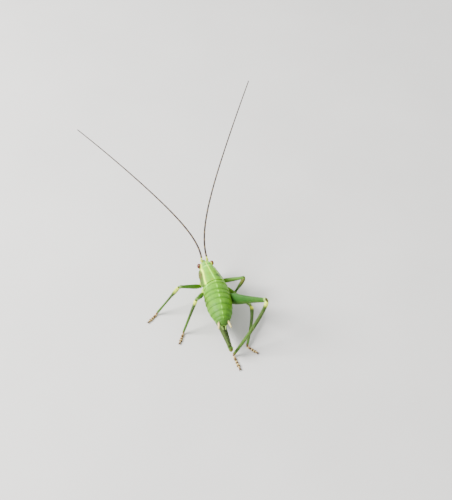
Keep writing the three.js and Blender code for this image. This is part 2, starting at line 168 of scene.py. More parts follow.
# Rear edges of the plates along the trunk; the first one lies under the shield.
PLATE_EDGES = np.array([7.0, 8.6, 10.5, 11.76, 13.22, 14.82, 16.34, 17.52, 18.2, 18.66, 19.12])
BACK_STEP = 0.09          # how far each back plate stands over the next
BELLY_STEP = 0.07
ROOF = 0.13               # how deep the panels of the back lie beside its keel
PLATE_CURL = 0.3          # a plate's rear corners curl this far forward
PLATE_LOW = 116.0         # back plates end this many degrees from the top
BAND_AT = 57.0            # the cream band's place, degrees from the top
SHIELD_WALL = 0.2
UNDER_SHIELD = 0.32       # how deep the skin lies under the shield
ROOT_DEPTH = 0.6          # a coxa's root goes this share of its length into the trunk
CLAW_RADIUS = 0.085
SKIN_CREASE = 40.0        # faces that meet at more than this, in degrees, show an edge
LENS_CREASE = 30.0
FEELER_STEPS = 72         # points along a feeler's route
FEELER_BANDS = 26         # pale bands along a feeler
HAIR_ROOT = 0.045         # a hair's radius at its root, as a share of its length
HAIR_PATCH = 0.003        # side of each hair's patch of the map

VIEW = SimpleNamespace(
    azimuth=-10.7, elevation=50.0, distance=200.0, target=(9.7, -0.3, 3.0), lens=65.3)
FLOOR_HALF = 0.6
# Softboxes: where each stands, in metres from the middle of the floor, its side and its watts.
SOFTBOXES = {
    "key_softbox": ((-0.3, 0.04, 0.26), 0.2, 5.8),
    "fill_softbox": ((0.3, -0.15, 0.2), 0.3, 0.27),
}
ROOM_LIGHT = ("#f2f4f6", 1.35)


# ---- colours ----


def linear(text):
    """A colour written as sRGB hex, in linear light."""
    values = [int(text[i:i + 2], 16) / 255 for i in (1, 3, 5)]
    return tuple(v / 12.92 if v <= 0.04045 else ((v + 0.055) / 1.055) ** 2.4 for v in values)


PALETTE = {
    "leaf": ("#59931a", "Back of the abdomen"),
    "lime": ("#6b9a1b", "Flanks of the abdomen"),
    # Deep also lays painted shade: over the end of the abdomen, in folds and furrows, on the
    # shield's right side and on the tucked hind femur.
    "deep": ("#345a1f", "Rear edges of the plates and end of the abdomen"),
    "belly": ("#8dad4e", "Underside"),
    "thorax": ("#6ca623", "Thorax and shield"),
    "head": ("#75ae45", "Head"),
    # Cream also colours the eyes' inner sides, partly pale pigment and partly a painted highlight.
    "cream": ("#ecff49", "Bands, knee patches and leg roots"),
    # Dash also paints a highlight on the shield's front edge, and the band's dimmer colour on its
    # shaded right side.
    "dash": ("#98ec48", "Dashes down the middle of the back"),
    "ochre": ("#887c25", "Line along the inner side of each band"),
    # Lobe also darkens the end of the abdomen, as painted shade.
    "lobe": ("#4c6c24", "Side lobes of the shield"),
    # Umber also lays painted shade: on the tucked hind femur, the shield's right side and the eye
    # sockets.
    "umber": ("#38200f", "Knee crescents, jaw tips, claws and dark corners"),
    "femur": ("#537c2b", "Front and middle femora"),
    "thigh": ("#2d5720", "Upper side of the hind femora"),
    "thigh_low": ("#436a1c", "Lower side of the hind femora"),
    "knee": ("#9dbd66", "Knees"),
    "shin": ("#38501f", "Tibiae"),
    "foot": ("#6d442b", "Feet"),
    "scape": ("#acb737", "Feeler roots"),
    "eye": ("#5c220e", "Eyes"),
    "feeler": ("#261106", "Feelers"),
    "feeler_ring": ("#66502a", "Pale rings of the feelers"),
    "cercus": ("#dfca86", "Cerci"),
    "hair": ("#bbc686", "Hairs"),
    "floor": ("#cbc9c5", "Floor"),
}


def colour_property(name, text, what):
    return FloatVectorProperty(
        name=name.replace("_", " ").capitalize(), description=what, subtype="COLOR",
        size=3, min=0.0, max=1.0, default=linear(text),
    )


class CricketColours(bpy.types.PropertyGroup):
    """Colours of the living insect and its floor."""

    __annotations__ = {key: colour_property(key, *value) for key, value in PALETTE.items()}


# Lengths in metres: each one's default, least and most, its name and what it is.
LENGTHS = {
    "feeler_root": (0.00024, 0.00005, 0.0004, "Feeler root radius",
                    "Radius of a feeler where it leaves its root"),
    "feeler_tip": (0.00012, 0.00002, 0.0003, "Feeler tip radius",
                   "Radius of a feeler at its far end"),
    "spine_length": (0.0003, 0.0001, 0.001, "Spine length",
                     "Length of the spines on the hind tibiae"),
    "hair_length": (0.00028, 0.00005, 0.001, "Hair length", "Length of the longest hairs"),
    "lens_height": (0.000006, 0.0, 0.00005, "Lens height",
                    "How far each lens of an eye stands out"),
}


def length_property(default, least, most, name, what):
    return FloatProperty(
        name=name, description=what, default=default, min=least, max=most, unit="LENGTH",
        precision=6,
    )


class CricketSizes(bpy.types.PropertyGroup):
    """Sizes of the small things that the CAD part leaves out."""

    __annotations__ = {
        **{key: length_property(*value) for key, value in LENGTHS.items()},
        "feeler_rings": IntProperty(
            name="Feeler rings", description="How many rings make up one feeler",
            default=250, min=20, max=400),
        "hair_count": FloatProperty(
            name="Hairs per square millimetre", description="How densely hairs stand on the legs",
            default=16.0, min=0.0, max=60.0),
    }


def sizes():
    return bpy.context.scene.cricket_sizes


def colour(name):
    return np.array(getattr(bpy.context.scene.cricket_colours, name))


def painted(base, *layers):
    """One colour with others laid over it, each given with how much of it shows, 0 to 1."""
    shade = colour(base)
    for name, amount in layers:
        amount = np.clip(amount, 0, 1)[..., None]
        shade = shade + (colour(name) - shade) * amount
    return shade


# ---- curves and places ----


def smooth(value, low, high):
    """0 up to low, 1 from high, and an even rise between them."""
    part = np.clip((value - low) / (high - low), 0, 1)
    return part * part * (3 - 2 * part)


def ridge(value, centre, width):
    """1 at centre, dying away over width on both sides."""
    return np.exp(-(((value - centre) / width) ** 2))


def curve_through(table, at):
    """The other columns of a table where its first is at, on a smooth curve through the rows."""
    table = np.asarray(table, float)
    knots, values = table[:, 0], table[:, 1:]
    rise = np.diff(values, axis=0) / np.diff(knots)[:, None]
    slopes = np.vstack([rise[:1], (rise[:-1] + rise[1:]) / 2, rise[-1:]])
    at = np.clip(at, knots[0], knots[-1])
    i = np.clip(np.searchsorted(knots, at, side="right") - 1, 0, len(rise) - 1)
    width = (knots[i + 1] - knots[i])[..., None]
    p = (at - knots[i])[..., None] / width
    return (
        (1 + 2 * p) * (1 - p) ** 2 * values[i] + p * (1 - p) ** 2 * width * slopes[i]
        + p * p * (3 - 2 * p) * values[i + 1] + p * p * (p - 1) * width * slopes[i + 1]
    )


def aim(heading, rise=0.0):
    """The unit vector with that heading and rise."""
    heading, rise = math.radians(heading), math.radians(rise)
    level = math.cos(rise)
    return np.array([math.sin(heading) * level, math.cos(heading) * level, math.sin(rise)])


def unit(vector):
    return vector / np.linalg.norm(vector, axis=-1, keepdims=True)


def on_trunk(station, side, height):
    """A place beside the trunk's axis, after the trunk's lean, turn and slope."""
    station, side, height = np.broadcast_arrays(station, side, height)
    lean = math.radians(ROLL)
    x = side * math.cos(lean) + height * math.sin(lean)
    z = height * math.cos(lean) - side * math.sin(lean)
    y = WAIST - station
    turn = np.radians(NECK_TURN) * smooth(-station, -TURN_FROM, -TURN_TO)
    x, y = x * np.cos(turn) - y * np.sin(turn), x * np.sin(turn) + y * np.cos(turn)
    z = z + AXIS_HEIGHT - math.tan(math.radians(SLOPE)) * (WAIST - station)
    return np.stack([x + WAIST_AT[0], y + WAIST_AT[1], z], -1)


def trunk_point(station, around, depth):
    """A point of the trunk, around in radians from the top and depth below its outline."""
    half, above, below, flank = np.moveaxis(curve_through(TRUNK, station), -1, 0)
    x, z = np.sin(around), np.cos(around)
    reach = np.where(z > 0, above, below)
    wide = half + flank * smooth(-z, *FLANK)
    return on_trunk(station, x * (wide - depth), z * (reach - depth))


# ---- shells: closed tubes of points, joined into one skin ----


def gathered(grid, row, column):
    """A grid's values at face corners; its poles take the means of its first and last rings."""
    rows, columns = grid.shape[:2]
    values = grid[np.clip(row, 0, rows - 1), column % columns]
    values = np.where((row < 0)[:, None], grid[0].mean(0), values)
    return np.where((row >= rows)[:, None], grid[-1].mean(0), values)


class Shell:
    """A closed tube of rings of points, with its colours, the lie of its hairs and how many."""

    def __init__(self, points, shade, lie, hairs=0.0):
        size = points.shape[:2]
        self.points = points
        self.tint = np.dstack([np.broadcast_to(shade, (*size, 3)), np.broadcast_to(hairs, size)])
        self.lie = np.broadcast_to(lie, (*size, 3))
        self.length = np.linalg.norm(np.diff(points.mean(1), axis=0), axis=-1).sum()
        self.girth = np.linalg.norm(np.roll(points, 1, 1) - points, axis=-1).sum(1).mean()
        self.corner = (0.0, 0.0)

    def faces(self):
        """Corners of the faces as (row, column) pairs; row -1 and row rows are the poles."""
        rows, columns = self.points.shape[:2]
        row, column = np.meshgrid(np.arange(rows - 1), np.arange(columns), indexing="ij")
        row, column = row.ravel(), column.ravel()
        after, right = row + 1, column + 1
        quads = np.stack([[row, column], [row, right], [after, right], [after, column]])
        c = np.arange(columns)
        top, low = np.zeros_like(c), np.full_like(c, rows - 1)
        first = np.stack([[top - 1, c], [top, c + 1], [top, c]])
        last = np.stack([[low + 1, c], [low, c], [low, c + 1]])
        return quads, first, last

    def is_inside_out(self):
        ring = self.points
        across, down = np.roll(ring, -1, 1)[:-1] - ring[:-1], ring[1:] - ring[:-1]
        return np.einsum("ijk,ijk->", ring[:-1] - ring.mean((0, 1)), np.cross(across, down)) < 0

    def parts(self, start, scale):
        """Vertices, and for every face corner its vertex, colour, lie and place on the map."""
        rows, columns = self.points.shape[:2]
        poles = self.points[0].mean(0), self.points[-1].mean(0)
        vertices = np.vstack([self.points.reshape(-1, 3), *poles])
        corners = SimpleNamespace(vertex=[], tint=[], lie=[], unwrap=[], size=[])
        turned = self.is_inside_out()
        for block in self.faces():
            if turned:
                block = block[::-1]
            row, column = block[:, 0].T.ravel(), block[:, 1].T.ravel()
            index = np.where(row < 0, rows * columns, row * columns + column % columns)
            corners.vertex.append(np.where(row >= rows, rows * columns + 1, index) + start)
            corners.tint.append(gathered(self.tint, row, column))
            corners.lie.append(gathered(self.lie, row, column))
            down = np.clip(row, -0.5, rows - 0.5) + 0.5
            spot = np.stack([column / columns * self.girth, down / rows * self.length], -1)
            corners.unwrap.append((spot + self.corner) * scale)
            corners.size.append(np.full(block.shape[2], len(block)))
        return vertices, corners


def lay_out(shells, gap=0.4):
    """Gives each shell its own rectangle of one square map, all at one scale."""
    width = 1.1 * math.sqrt(sum((s.girth + gap) * (s.length + gap) for s in shells))
    x = y = shelf = 0.0
    for shell in sorted(shells, key=lambda s: -s.length):
        if x + shell.girth > width:
            x, y, shelf = 0.0, y + shelf, 0.0
        shell.corner = (x, y)
        x += shell.girth + gap
        shelf = max(shelf, shell.length + gap)
    return 1 / max(width + gap, y + shelf)


def set_attribute(mesh, name, kind, domain, values):
    """Stores a value for each point or face corner of a mesh."""
    layer = mesh.attributes.new(name, kind, domain)
    field = "color" if kind == "FLOAT_COLOR" else "vector"
    layer.data.foreach_set(field, np.asarray(values, np.float32).ravel())


def mesh_of(name, shells, scale):
    """One mesh of several shells, with its tint, lie and map on the face corners."""
    vertices, found = [], []
    count = 0
    for shell in shells:
        points, corners = shell.parts(count, scale)
        vertices.append(points)
        found.append(corners)
        count += len(points)
    vertices = np.vstack(vertices) * MM

    def all_of(key):
        return np.concatenate([block for corners in found for block in getattr(corners, key)])

    size = all_of("size")
    mesh = bpy.data.meshes.new(name)
    mesh.vertices.add(count)
    mesh.vertices.foreach_set("co", vertices.astype(np.float32).ravel())
    mesh.loops.add(int(size.sum()))
    mesh.loops.foreach_set("vertex_index", all_of("vertex").astype(np.int32))
    mesh.polygons.add(len(size))
    mesh.polygons.foreach_set("loop_start", (np.cumsum(size) - size).astype(np.int32))
    mesh.update(calc_edges=True)
    for key, kind in (("tint", "FLOAT_COLOR"), ("lie", "FLOAT_VECTOR"), ("unwrap", "FLOAT2")):
        set_attribute(mesh, key, kind, "CORNER", all_of(key))
    if mesh.validate():
        raise RuntimeError(f"{name}: its faces were not sound")
    return mesh


def linked(name, mesh):
    thing = bpy.data.objects.new(name, mesh)
    bpy.context.scene.collection.objects.link(thing)
    return thing


def finished_mesh(thing, name):
    """The mesh that an object's modifiers give, as plain mesh on the same object."""
    bpy.context.view_layer.update()
    graph = bpy.context.evaluated_depsgraph_get()
    result = bpy.data.meshes.new_from_object(
        thing.evaluated_get(graph), preserve_all_data_layers=True, depsgraph=graph)
    thing.modifiers.clear()
    thing.data = result
    result.name = name
    if not result.polygons:
        raise RuntimeError(f"{name} came out empty")
    return thing


def united(name, layers):
    """One skin round several layers of shells; shells of one layer keep clear of each other."""
    scale = lay_out([shell for layer in layers for shell in layer])
    things = []
    for i, layer in enumerate(layers):
        things.append(linked(f"{name}_{i}", mesh_of(f"{name}_{i}", layer, scale)))
    for other in things[1:]:
        joint = things[0].modifiers.new("union", "BOOLEAN")
        joint.operation = "UNION"
        joint.solver = "MANIFOLD"
        joint.object = other
    skin = finished_mesh(things[0], name)
    skin.name = name
    for other in things[1:]:
        bpy.data.objects.remove(other)
    return skin


def shaded(thing, crease=SKIN_CREASE):
    """Smooth shading, broken where faces meet at more than crease degrees."""
    thing.data.shade_smooth()
    thing.data.set_sharp_from_angle(angle=math.radians(crease))
    return thing


def stands(thing, slot, *nodes):
    """Puts a finished piece in the model, in place of the CAD nodes that it stands for."""
    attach(thing, "root")
    if nodes:
        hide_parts(*nodes)


def nodes_ending(*endings):
    return [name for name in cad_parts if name.endswith(endings)]


# ---- node helper ----


def add_node(tree, kind, inputs=None, **settings):
    """Adds a node, its inputs given as values or as sockets to link, and returns its outputs."""
    node = tree.nodes.new(kind)
    for key, value in settings.items():
        setattr(node, key, value)
    for key, value in (inputs or {}).items():
        if isinstance(value, bpy.types.NodeSocket):
            tree.links.new(value, node.inputs[key])
        else:
            node.inputs[key].default_value = value
    return node.outputs


# ---- trunk ----


def plate_place(row):
    """How far along its plate a station lies, from 0 to 1, and the plate's length."""
    i = np.clip(np.searchsorted(PLATE_EDGES, row, side="right") - 1, 0, len(PLATE_EDGES) - 2)
    length = PLATE_EDGES[i + 1] - PLATE_EDGES[i]
    return np.clip((row - PLATE_EDGES[i]) / length, 0, 1), length


def trunk_rows():
    """Stations of the trunk's rings, set close where one plate steps down to the next."""
    even = np.arange(2.0, PLATE_EDGES[-1], 0.12)
    near = (PLATE_EDGES[1:-1, None] + [-0.07, -0.03, -0.006, 0.024, 0.06, 0.1]).ravel()
    clear = np.abs(even[:, None] - PLATE_EDGES[1:-1]).min(1) > 0.13
    return np.sort(np.concatenate([even[clear], near, [PLATE_EDGES[-1]]]))


def trunk_depth(row, around):
    """How far below the outline the skin lies: plates, folds, wing pads and sutures."""
    side = np.degrees(np.abs(around))
    place, length = plate_place(row)
    back = 1 - smooth(side, PLATE_LOW - 3, PLATE_LOW + 2)
    belly = smooth(side, PLATE_LOW + 6, PLATE_LOW + 14)
    small = curve_through(TRUNK, row)[..., 0] / 2.9
    tucked = 1 - smooth(place, 0, 0.85)
    depth = 0.02 + small * (BACK_STEP * back + BELLY_STEP * belly) * tucked
    # The back is a low roof: flat panels either side of a fine keel.
    depth = depth + ROOF * small * (1 - np.exp(-side / 9)) * (1 - smooth(side, 35, 75))
    depth = depth + 0.025 * smooth(place, 1 - 0.05 / length, 1)
    depth = depth + 0.02 * ridge(place, 0.3, 0.07) * back
    depth = depth + 0.16 * small * ridge(side, PLATE_LOW + 3, 3.5)
    # Wing pads: the rounded lower ends of the two plates behind the shield.
    chest = smooth(row, 6.9, 7.3) * (1 - smooth(row, 10.3, 10.5))
    pad = 84 + 18 * np.sqrt(np.clip(1 - (2 * place - 1) ** 2, 0, 1))
    depth = depth + 0.13 * chest * smooth(side, pad - 2, pad + 2) * (1 - smooth(side, 140, 165))
    slant = row - 0.025 * (side - 110)
    for suture in (7.9, 8.55, 9.7):
        depth = depth + 0.07 * chest * ridge(slant, suture, 0.07) * ridge(side, 118, 16)
    # Under the shield, and the neck inside the back of the head.
    edge = SHIELD.end + SHIELD.bulge * np.cos(around)
    covered = 1 - smooth(row, edge - 0.35, edge + 0.05)
    inner = 0.9 - (0.9 - UNDER_SHIELD) * smooth(row, 2.6, 3.9)
    depth = depth + (inner - depth) * covered
    return depth + 0.2 * smooth(row, 18.85, PLATE_EDGES[-1])


def trunk_shade(row, around):
    """Markings: cream bands, dashes down the middle, dark rear edges and paler flanks; painted
    shade in the plates' folds and over the end of the abdomen.
    """
    side = np.degrees(np.abs(around))
    place, length = plate_place(row)
    behind = smooth(row, 7.4, 9.5)
    # Dark bands at each plate's rear edge and, fainter, at the start of the next: partly the
    # plates' own colour, partly painted shade in the fold between them.
    rear = ridge((1 - place) * length, 0.08, 0.3) + 0.3 * ridge(place * length, 0.0, 0.15)
    upper = 1 - smooth(side, 85, 105)
    band = ridge(side, BAND_AT + 4, 7) * (1 - smooth(row, 7.3, 9.6))
    dash = ridge(np.degrees(around), 0.0, 2.4) * ridge(place, 0.6, 0.24)
    spots = ridge(place, 0.72, 0.12) * (ridge(side, 27, 3.0) + ridge(side, 41, 3.0))
    breath = ridge(side, PLATE_LOW + 3, 1.6) * ridge(place * length, 0.45, 0.09)
    breath = breath * smooth(row, 8, 8.5)
    tail = smooth(row, 17.9, 18.6)
    return painted(
        "thorax",
        ("leaf", behind),
        ("lime", 0.7 * smooth(side, 35, 80) * behind * (1 - 0.8 * smooth(row, 13.5, 16.5))),
        ("belly", smooth(side, PLATE_LOW - 4, PLATE_LOW + 12)),
        ("deep", 0.38 * smooth(row, 13.0, 17.0) * smooth(side, 5, 40) * upper),
        # The end of the abdomen, darker olive: painted shade on its rear-facing, downturned end.
        ("deep", 0.6 * tail * (1 - smooth(side, 120, 135))),
        ("lobe", 0.5 * tail * (1 - smooth(side, 120, 135))),
        ("deep", 0.5 * rear * upper * smooth(row, 8.2, 8.5)),
        ("deep", 0.3 * spots * behind),
        ("dash", 0.7 * band),
        ("dash", 0.9 * dash * (1 - tail)),
        ("umber", 0.8 * breath),
    )


def trunk_shell():
    row = trunk_rows()[:, None]
    around = np.linspace(-math.pi, math.pi, 144, endpoint=False)[None, :]
    side = np.degrees(np.abs(around))
    curl = PLATE_CURL * smooth(side, 92, PLATE_LOW)
    curl = curl * smooth(row, 8, 9) * (1 - smooth(row, 17, 18.5))
    points = trunk_point(row - curl, around, trunk_depth(row, around))
    hairs = 0.35 * smooth(row, 7.9, 8.6)
    return Shell(points, trunk_shade(row, around), (0.0, -1.0, 0.0), hairs)


def shield_parts():
    """The shield's outline: lobes, station and how far down each place on it lies."""
    across = np.linspace(-1, 1, 129)[None, :]
    along = np.linspace(0, 1, 81)[:, None]
    edge = 1 - SHIELD.taper * (2 * along - 1) ** 2
    lobe = math.radians(SHIELD.reach) * across * edge
    station = SHIELD.start + (SHIELD.end - SHIELD.start) * along
    station = station + SHIELD.bulge * np.cos(lobe) * along ** 4
    return across, along, lobe, station


def shield_shade(across, along, lobe):
    """Markings: cream bands and keel, ochre beside each band and darker, brownish side lobes; on
    the right, painted shade dims the band and deepens a dark patch near the rear of the disc.
    """
    side = np.degrees(np.abs(lobe))
    at = BAND_AT - 5 + 10 * smooth(along, 0.3, 0.9) + 9 * (1 - smooth(along, 0.0, 0.28))
    band = ridge(side, at, 8.5 - 3.0 * smooth(along, 0.0, 0.5))
    rim = smooth(np.abs(across), 0.93, 1.0)
    # The right half of the shield, which carries painted shade.
    right = smooth(lobe, 0.0, 0.1)
    low = smooth(side, at + 7 + 9 * right, at + 15 + 13 * right)
    return painted(
        "thorax",
        ("head", 0.5 * (1 - smooth(along, 0.05, 0.35))),
        ("leaf", 0.5 * ridge(side, 26, 12) * smooth(along, 0.2, 0.6)),
        ("lobe", 0.9 * low),
        ("foot", 0.45 * low * ridge(along, 0.3, 0.22)),
        ("umber", 0.3 * low * (1 - 0.6 * along)),
        ("ochre", 0.45 * ridge(side, at - 14, 4) * smooth(along, 0.05, 0.3)),
        ("ochre", 0.35 * ridge(side, 14, 6) * ridge(along, 0.6, 0.07)),
        # A pale patch at the front edge of the shield: a painted highlight.
        ("dash", 0.8 * ridge(side, 0, 34) * (1 - smooth(along, 0.02, 0.14))),
        ("dash", 0.6 * ridge(side, at - 2, 11) * (1 - 0.5 * along)),
        ("umber", 0.45 * ridge(side, at + 10, 4) * (1 - smooth(along, 0.25, 0.55))),
        # The band on the right is pale green, not cream: painted shade on the right side.
        ("dash", 0.6 * band * right),
        ("cream", band * (1 - 0.75 * right)),
        ("dash", ridge(np.degrees(lobe), 0.0, 3.2) * (1 - smooth(along, 0.9, 1.0))),
        ("cream", 0.6 * ridge(np.degrees(lobe), 0.0, 3.4) * (1 - smooth(along, 0.1, 0.7))),
        # A dark patch across the right half near the rear of the disc: partly a mark, partly
        # painted shade on the right side.
        ("deep", 0.9 * ridge(side, 36, 24) * ridge(along, 0.77, 0.1) * right),
        ("umber", 0.5 * ridge(side, 46, 14) * ridge(along, 0.75, 0.06) * right),
        ("ochre", 0.6 * ridge(side, 15, 8) * ridge(along, 0.94, 0.04) * (1 - right)),
        ("umber", 0.35 * ridge(side, 92, 8) * ridge(along, 0.33, 0.2)),
        ("umber", 0.4 * ridge(side, 86, 7) * ridge(along, 0.93, 0.05)),
        ("head", 0.5 * rim),
    )


def shield_mesh():
    """A thin saddle with a rolled rim, two cross furrows and a fine keel, closed all round."""
    across, along, lobe, station = shield_parts()
    out = np.abs(across)
    rim_end = np.maximum(1 - smooth(along, 0.0, 0.03), smooth(along, 0.97, 1.0))
    rim = np.maximum(smooth(out, 0.93, 0.985), rim_end)
    inner_line = ridge(out, 0.91, 0.03) + ridge(along, 0.05, 0.018) + ridge(along, 0.95, 0.018)
    furrows = ridge(along, 0.34 + 0.05 * np.cos(lobe), 0.018)
    furrows = furrows + ridge(along, 0.6 - 0.06 * np.cos(lobe), 0.02)
    furrows = furrows * (1 - ridge(np.degrees(lobe), 0, 6)) * (1 - smooth(out, 0.7, 0.9))
    depth = -0.03 - 0.045 * rim + 0.03 * inner_line + 0.05 * furrows
    outer = trunk_point(station, lobe, depth)
    inner = trunk_point(station, lobe, SHIELD_WALL - SHIELD.proud)
    rows, columns = outer.shape[:2]
    # The sheet's edge is rounded by drawing its last ring in to the middle of the wall.
    edge = np.zeros((rows, columns), bool)
    edge[[0, -1], :] = True
    edge[:, [0, -1]] = True
    middle = (outer + inner) / 2
    for sheet in (outer, inner):
        sheet[edge] = 0.6 * middle[edge] + 0.4 * sheet[edge]
    shade = shield_shade(across, along, lobe)
    mesh = bmesh.new()
    tint = mesh.verts.layers.float_color.new("tint")
    sheets = []
    for points in (outer, inner):
        sheet = [[mesh.verts.new(point) for point in row] for row in points * MM]
        for row, hues in zip(sheet, shade):
            for vertex, hue in zip(row, hues):
                vertex[tint] = (*hue, 1.0)
        sheets.append(sheet)
    top, under = sheets
    for i in range(rows - 1):
        for j in range(columns - 1):
            mesh.faces.new((top[i][j], top[i + 1][j], top[i + 1][j + 1], top[i][j + 1]))
            mesh.faces.new((under[i][j], under[i][j + 1], under[i + 1][j + 1], under[i + 1][j]))
    last_row, last_column = rows - 1, columns - 1
    ring = [(0, j) for j in range(columns)] + [(i, last_column) for i in range(1, rows)]
    ring += [(last_row, j) for j in range(last_column - 1, -1, -1)]
    ring += [(i, 0) for i in range(last_row - 1, 0, -1)]
    for (i, j), (k, m) in zip(ring, ring[1:] + ring[:1]):
        mesh.faces.new((top[i][j], top[k][m], under[k][m], under[i][j]))
    bmesh.ops.recalc_face_normals(mesh, faces=mesh.faces)
    result = bpy.data.meshes.new("pronotum_shield")
    mesh.to_mesh(result)
    mesh.free()
    return result


# ---- head ----


def ball_angles(rows, columns):
    """Points of a ball in rings from top to bottom: right, forward and up."""
    polar = np.linspace(0.5 / rows, 1 - 0.5 / rows, rows)[:, None] * math.pi
    around = np.linspace(-math.pi, math.pi, columns, endpoint=False)[None, :]
    return np.sin(polar) * np.sin(around), np.sin(polar) * np.cos(around), np.cos(polar)


def brow_shell():
    """The small peak between the feelers' roots."""
    x, y, z = ball_angles(24, 32)
    wide, deep, tall = (radius - 0.02 for radius in BROW.radii)
    points = on_trunk(BROW.station - y * deep, x * wide, BROW.height + z * tall)
    return Shell(points, colour("head"), (0.0, 0.3, -1.0))


def eye_distance(station, side, height):
    """Distance to an eye's centre, as a share of its radius there."""
    wide, deep, tall = EYE.radii
    return np.sqrt(
        ((np.abs(side) - EYE.side) / wide) ** 2 + ((station - EYE.station) / deep) ** 2
        + ((height - EYE.height) / tall) ** 2)


def head_shell():
    """The head: square crown, ringed eyes and feeler roots, furrowed face and full cheeks."""
    x, y, z = ball_angles(132, 168)
    wide, deep, tall = HEAD.radii
    mouth = smooth(-z, -0.3, 1)
    high = np.clip(z, 0, 1)
    square = (1 - high ** CROWN) ** (1 / CROWN) / np.sqrt(1 - high ** 2)
    side = x * square * wide * (1 - MUZZLE.narrower * mouth)
    station = HEAD.station - y * deep * (1 - MUZZLE.shallower * mouth) + MUZZLE.back * mouth
    height = HEAD.height + z * tall
    out = np.abs(side)
    eye = eye_distance(station, side, height)
    root = np.sqrt((out - SCAPE.side) ** 2 + (station - SCAPE.station) ** 2
                   + (height - SCAPE.height) ** 2)
    front = smooth(y, 0.1, 0.5)
    cheek = smooth(np.abs(x), 0.45, 0.75)
    # Furrows: across the top of the lip's shield and down its sides, from each eye to the
    # jaw, and behind the cheek.
    shield_top = ridge(height, -1.95 + 0.22 * np.cos(2.2 * side), 0.055) * front
    shield_top = shield_top * (1 - smooth(out, 0.85, 1.0))
    shield_side = ridge(out, 0.9 + 0.22 * (height + 1.95), 0.05) * front
    shield_side = shield_side * (1 - smooth(height, -1.9, -1.8))
    under_eye = ridge(out, 1.02 + 0.15 * (height + 0.9), 0.05) * front
    under_eye = under_eye * ridge(height, -0.85, 0.75)
    behind_cheek = ridge(station, 1.95 + 0.12 * (height + 1), 0.06) * cheek
    behind_cheek = behind_cheek * ridge(height, -1.1, 1.0)
    furrow = np.clip(shield_top + shield_side + under_eye + behind_cheek, 0, 1)
    ridges = ridge(out, 0.62 + 0.1 * (height + 0.6), 0.1) * front * ridge(height, -0.6, 0.75)
    depth = 0.03 - 0.09 * ridge(eye, 1.18, 0.12) + 0.1 * (1 - smooth(eye, 0.9, 1.08))
    depth = depth - 0.09 * ridge(root, 0.44, 0.07) + 0.12 * (1 - smooth(root, 0.27, 0.4))
    dished = smooth(y, 0.7, 1) * ridge(height, -0.9, 0.9) * (1 - smooth(out, 0.4, 0.7))
    depth = depth + 0.09 * dished
    depth = depth - 0.07 * ridges - 0.1 * cheek * ridge(height, -1.7, 0.7) + 0.08 * furrow
    depth = depth - 0.05 * front * ridge(height, -2.45, 0.4) * (1 - smooth(out, 0.7, 0.9))
    ocellus = np.hypot(side, height - 0.28)
    depth = depth - 0.06 * front * (1 - smooth(ocellus, 0.07, 0.16))
    side, station, height = side - depth * x, station + depth * y, height - depth * z
    crown = smooth(z, 0.3, 0.75)
    behind_eye = np.hypot(out - 1.3, 0.8 * (height - 0.95))
    speck = ridge(np.sin(9 * side) * np.sin(7.3 * height + 4 * out), 1.0, 0.12) * front
    shade = painted(
        "head",
        ("thorax", 0.4 * smooth(station, 1.6, 2.6)),
        ("lime", 0.45 * front * (1 - crown)),
        ("belly", 0.5 * cheek * ridge(height, -1.8, 0.9)),
        ("cream", 0.5 * front * ridge(height, -2.5, 0.45)),
        ("cream", 0.35 * ridges),
        ("lobe", 0.7 * cheek * ridge(height, -0.5, 0.4) * smooth(station, 1.3, 1.9)),
        # Painted shade in the face's furrows, with fine dark specks.
        ("deep", 0.55 * furrow + 0.35 * speck),
        ("scape", 0.85 * (1 - smooth(root, 0.4, 0.6))),
        ("cream", 0.95 * ridge(behind_eye, 0, 0.26) * smooth(station, 1.1, 1.5)),
        ("cream", ridge(eye, 1.19, 0.2)),
        ("cream", 0.7 * ridge(station, 0.72, 0.2) * ridge(out, 0.95, 0.3) * crown),
        # A dark ring where each eye sits in its socket: painted shade.
        ("umber", 0.5 * ridge(eye, 1.0, 0.05)),
        ("lobe", 0.6 * ridge(side, 0, 0.6) * crown * ridge(station, 0.6, 0.5)),
        ("dash", 0.6 * ridge(side, 0.55, 0.3) * crown * ridge(station, 1.4, 0.5)),
        ("cream", 0.8 * front * (1 - smooth(ocellus, 0.06, 0.11))),
        ("cream", 0.85 * ridge(side, 0, 0.09) * crown * smooth(station, 0.9, 1.5)),
    )
    return Shell(on_trunk(station, side, height), shade, (0.0, 0.3, -1.0), 0.25)


def lip_shell():
    """The upper lip: hinged narrow at the top, folded across, notched below."""
    x, y, z = ball_angles(56, 64)
    wide, deep, tall = (radius - 0.03 for radius in LIP.radii)
    front = smooth(y, 0.0, 0.5)
    fold = ridge(z, 0.42 - 0.15 * x ** 2, 0.07) * front
    notch = ridge(x, 0.0, 0.1) * smooth(-z, 0.8, 0.98)
    pillow = ridge(np.abs(x), 0.42, 0.22) * ridge(z, -0.1, 0.45) * front
    side = x * wide * (1 - 0.2 * smooth(z, 0.0, 0.8))
    station = LIP.station - y * deep + 0.05 * fold - 0.04 * pillow
    station = station + 0.03 * ridge(x, 0.0, 0.2) * front
    station = station + 0.1 + 0.4 * smooth(z, 0.2, 1.0)
    height = LIP.height + z * tall + 0.09 * notch
    shade = painted(
        "thorax",
        ("head", 0.7 * front),
        ("cream", 0.3 * pillow),
        # Painted shade in the fold across the lip and on its sides towards the back.
        ("deep", 0.6 * fold),
        ("deep", 0.35 * (1 - front) * smooth(np.abs(x), 0.6, 0.95)),
        ("lobe", 0.7 * smooth(-z, 0.55, 0.95)),
    )
    return Shell(on_trunk(station, side, height), shade, (0.0, 0.0, -1.0), 0.3)


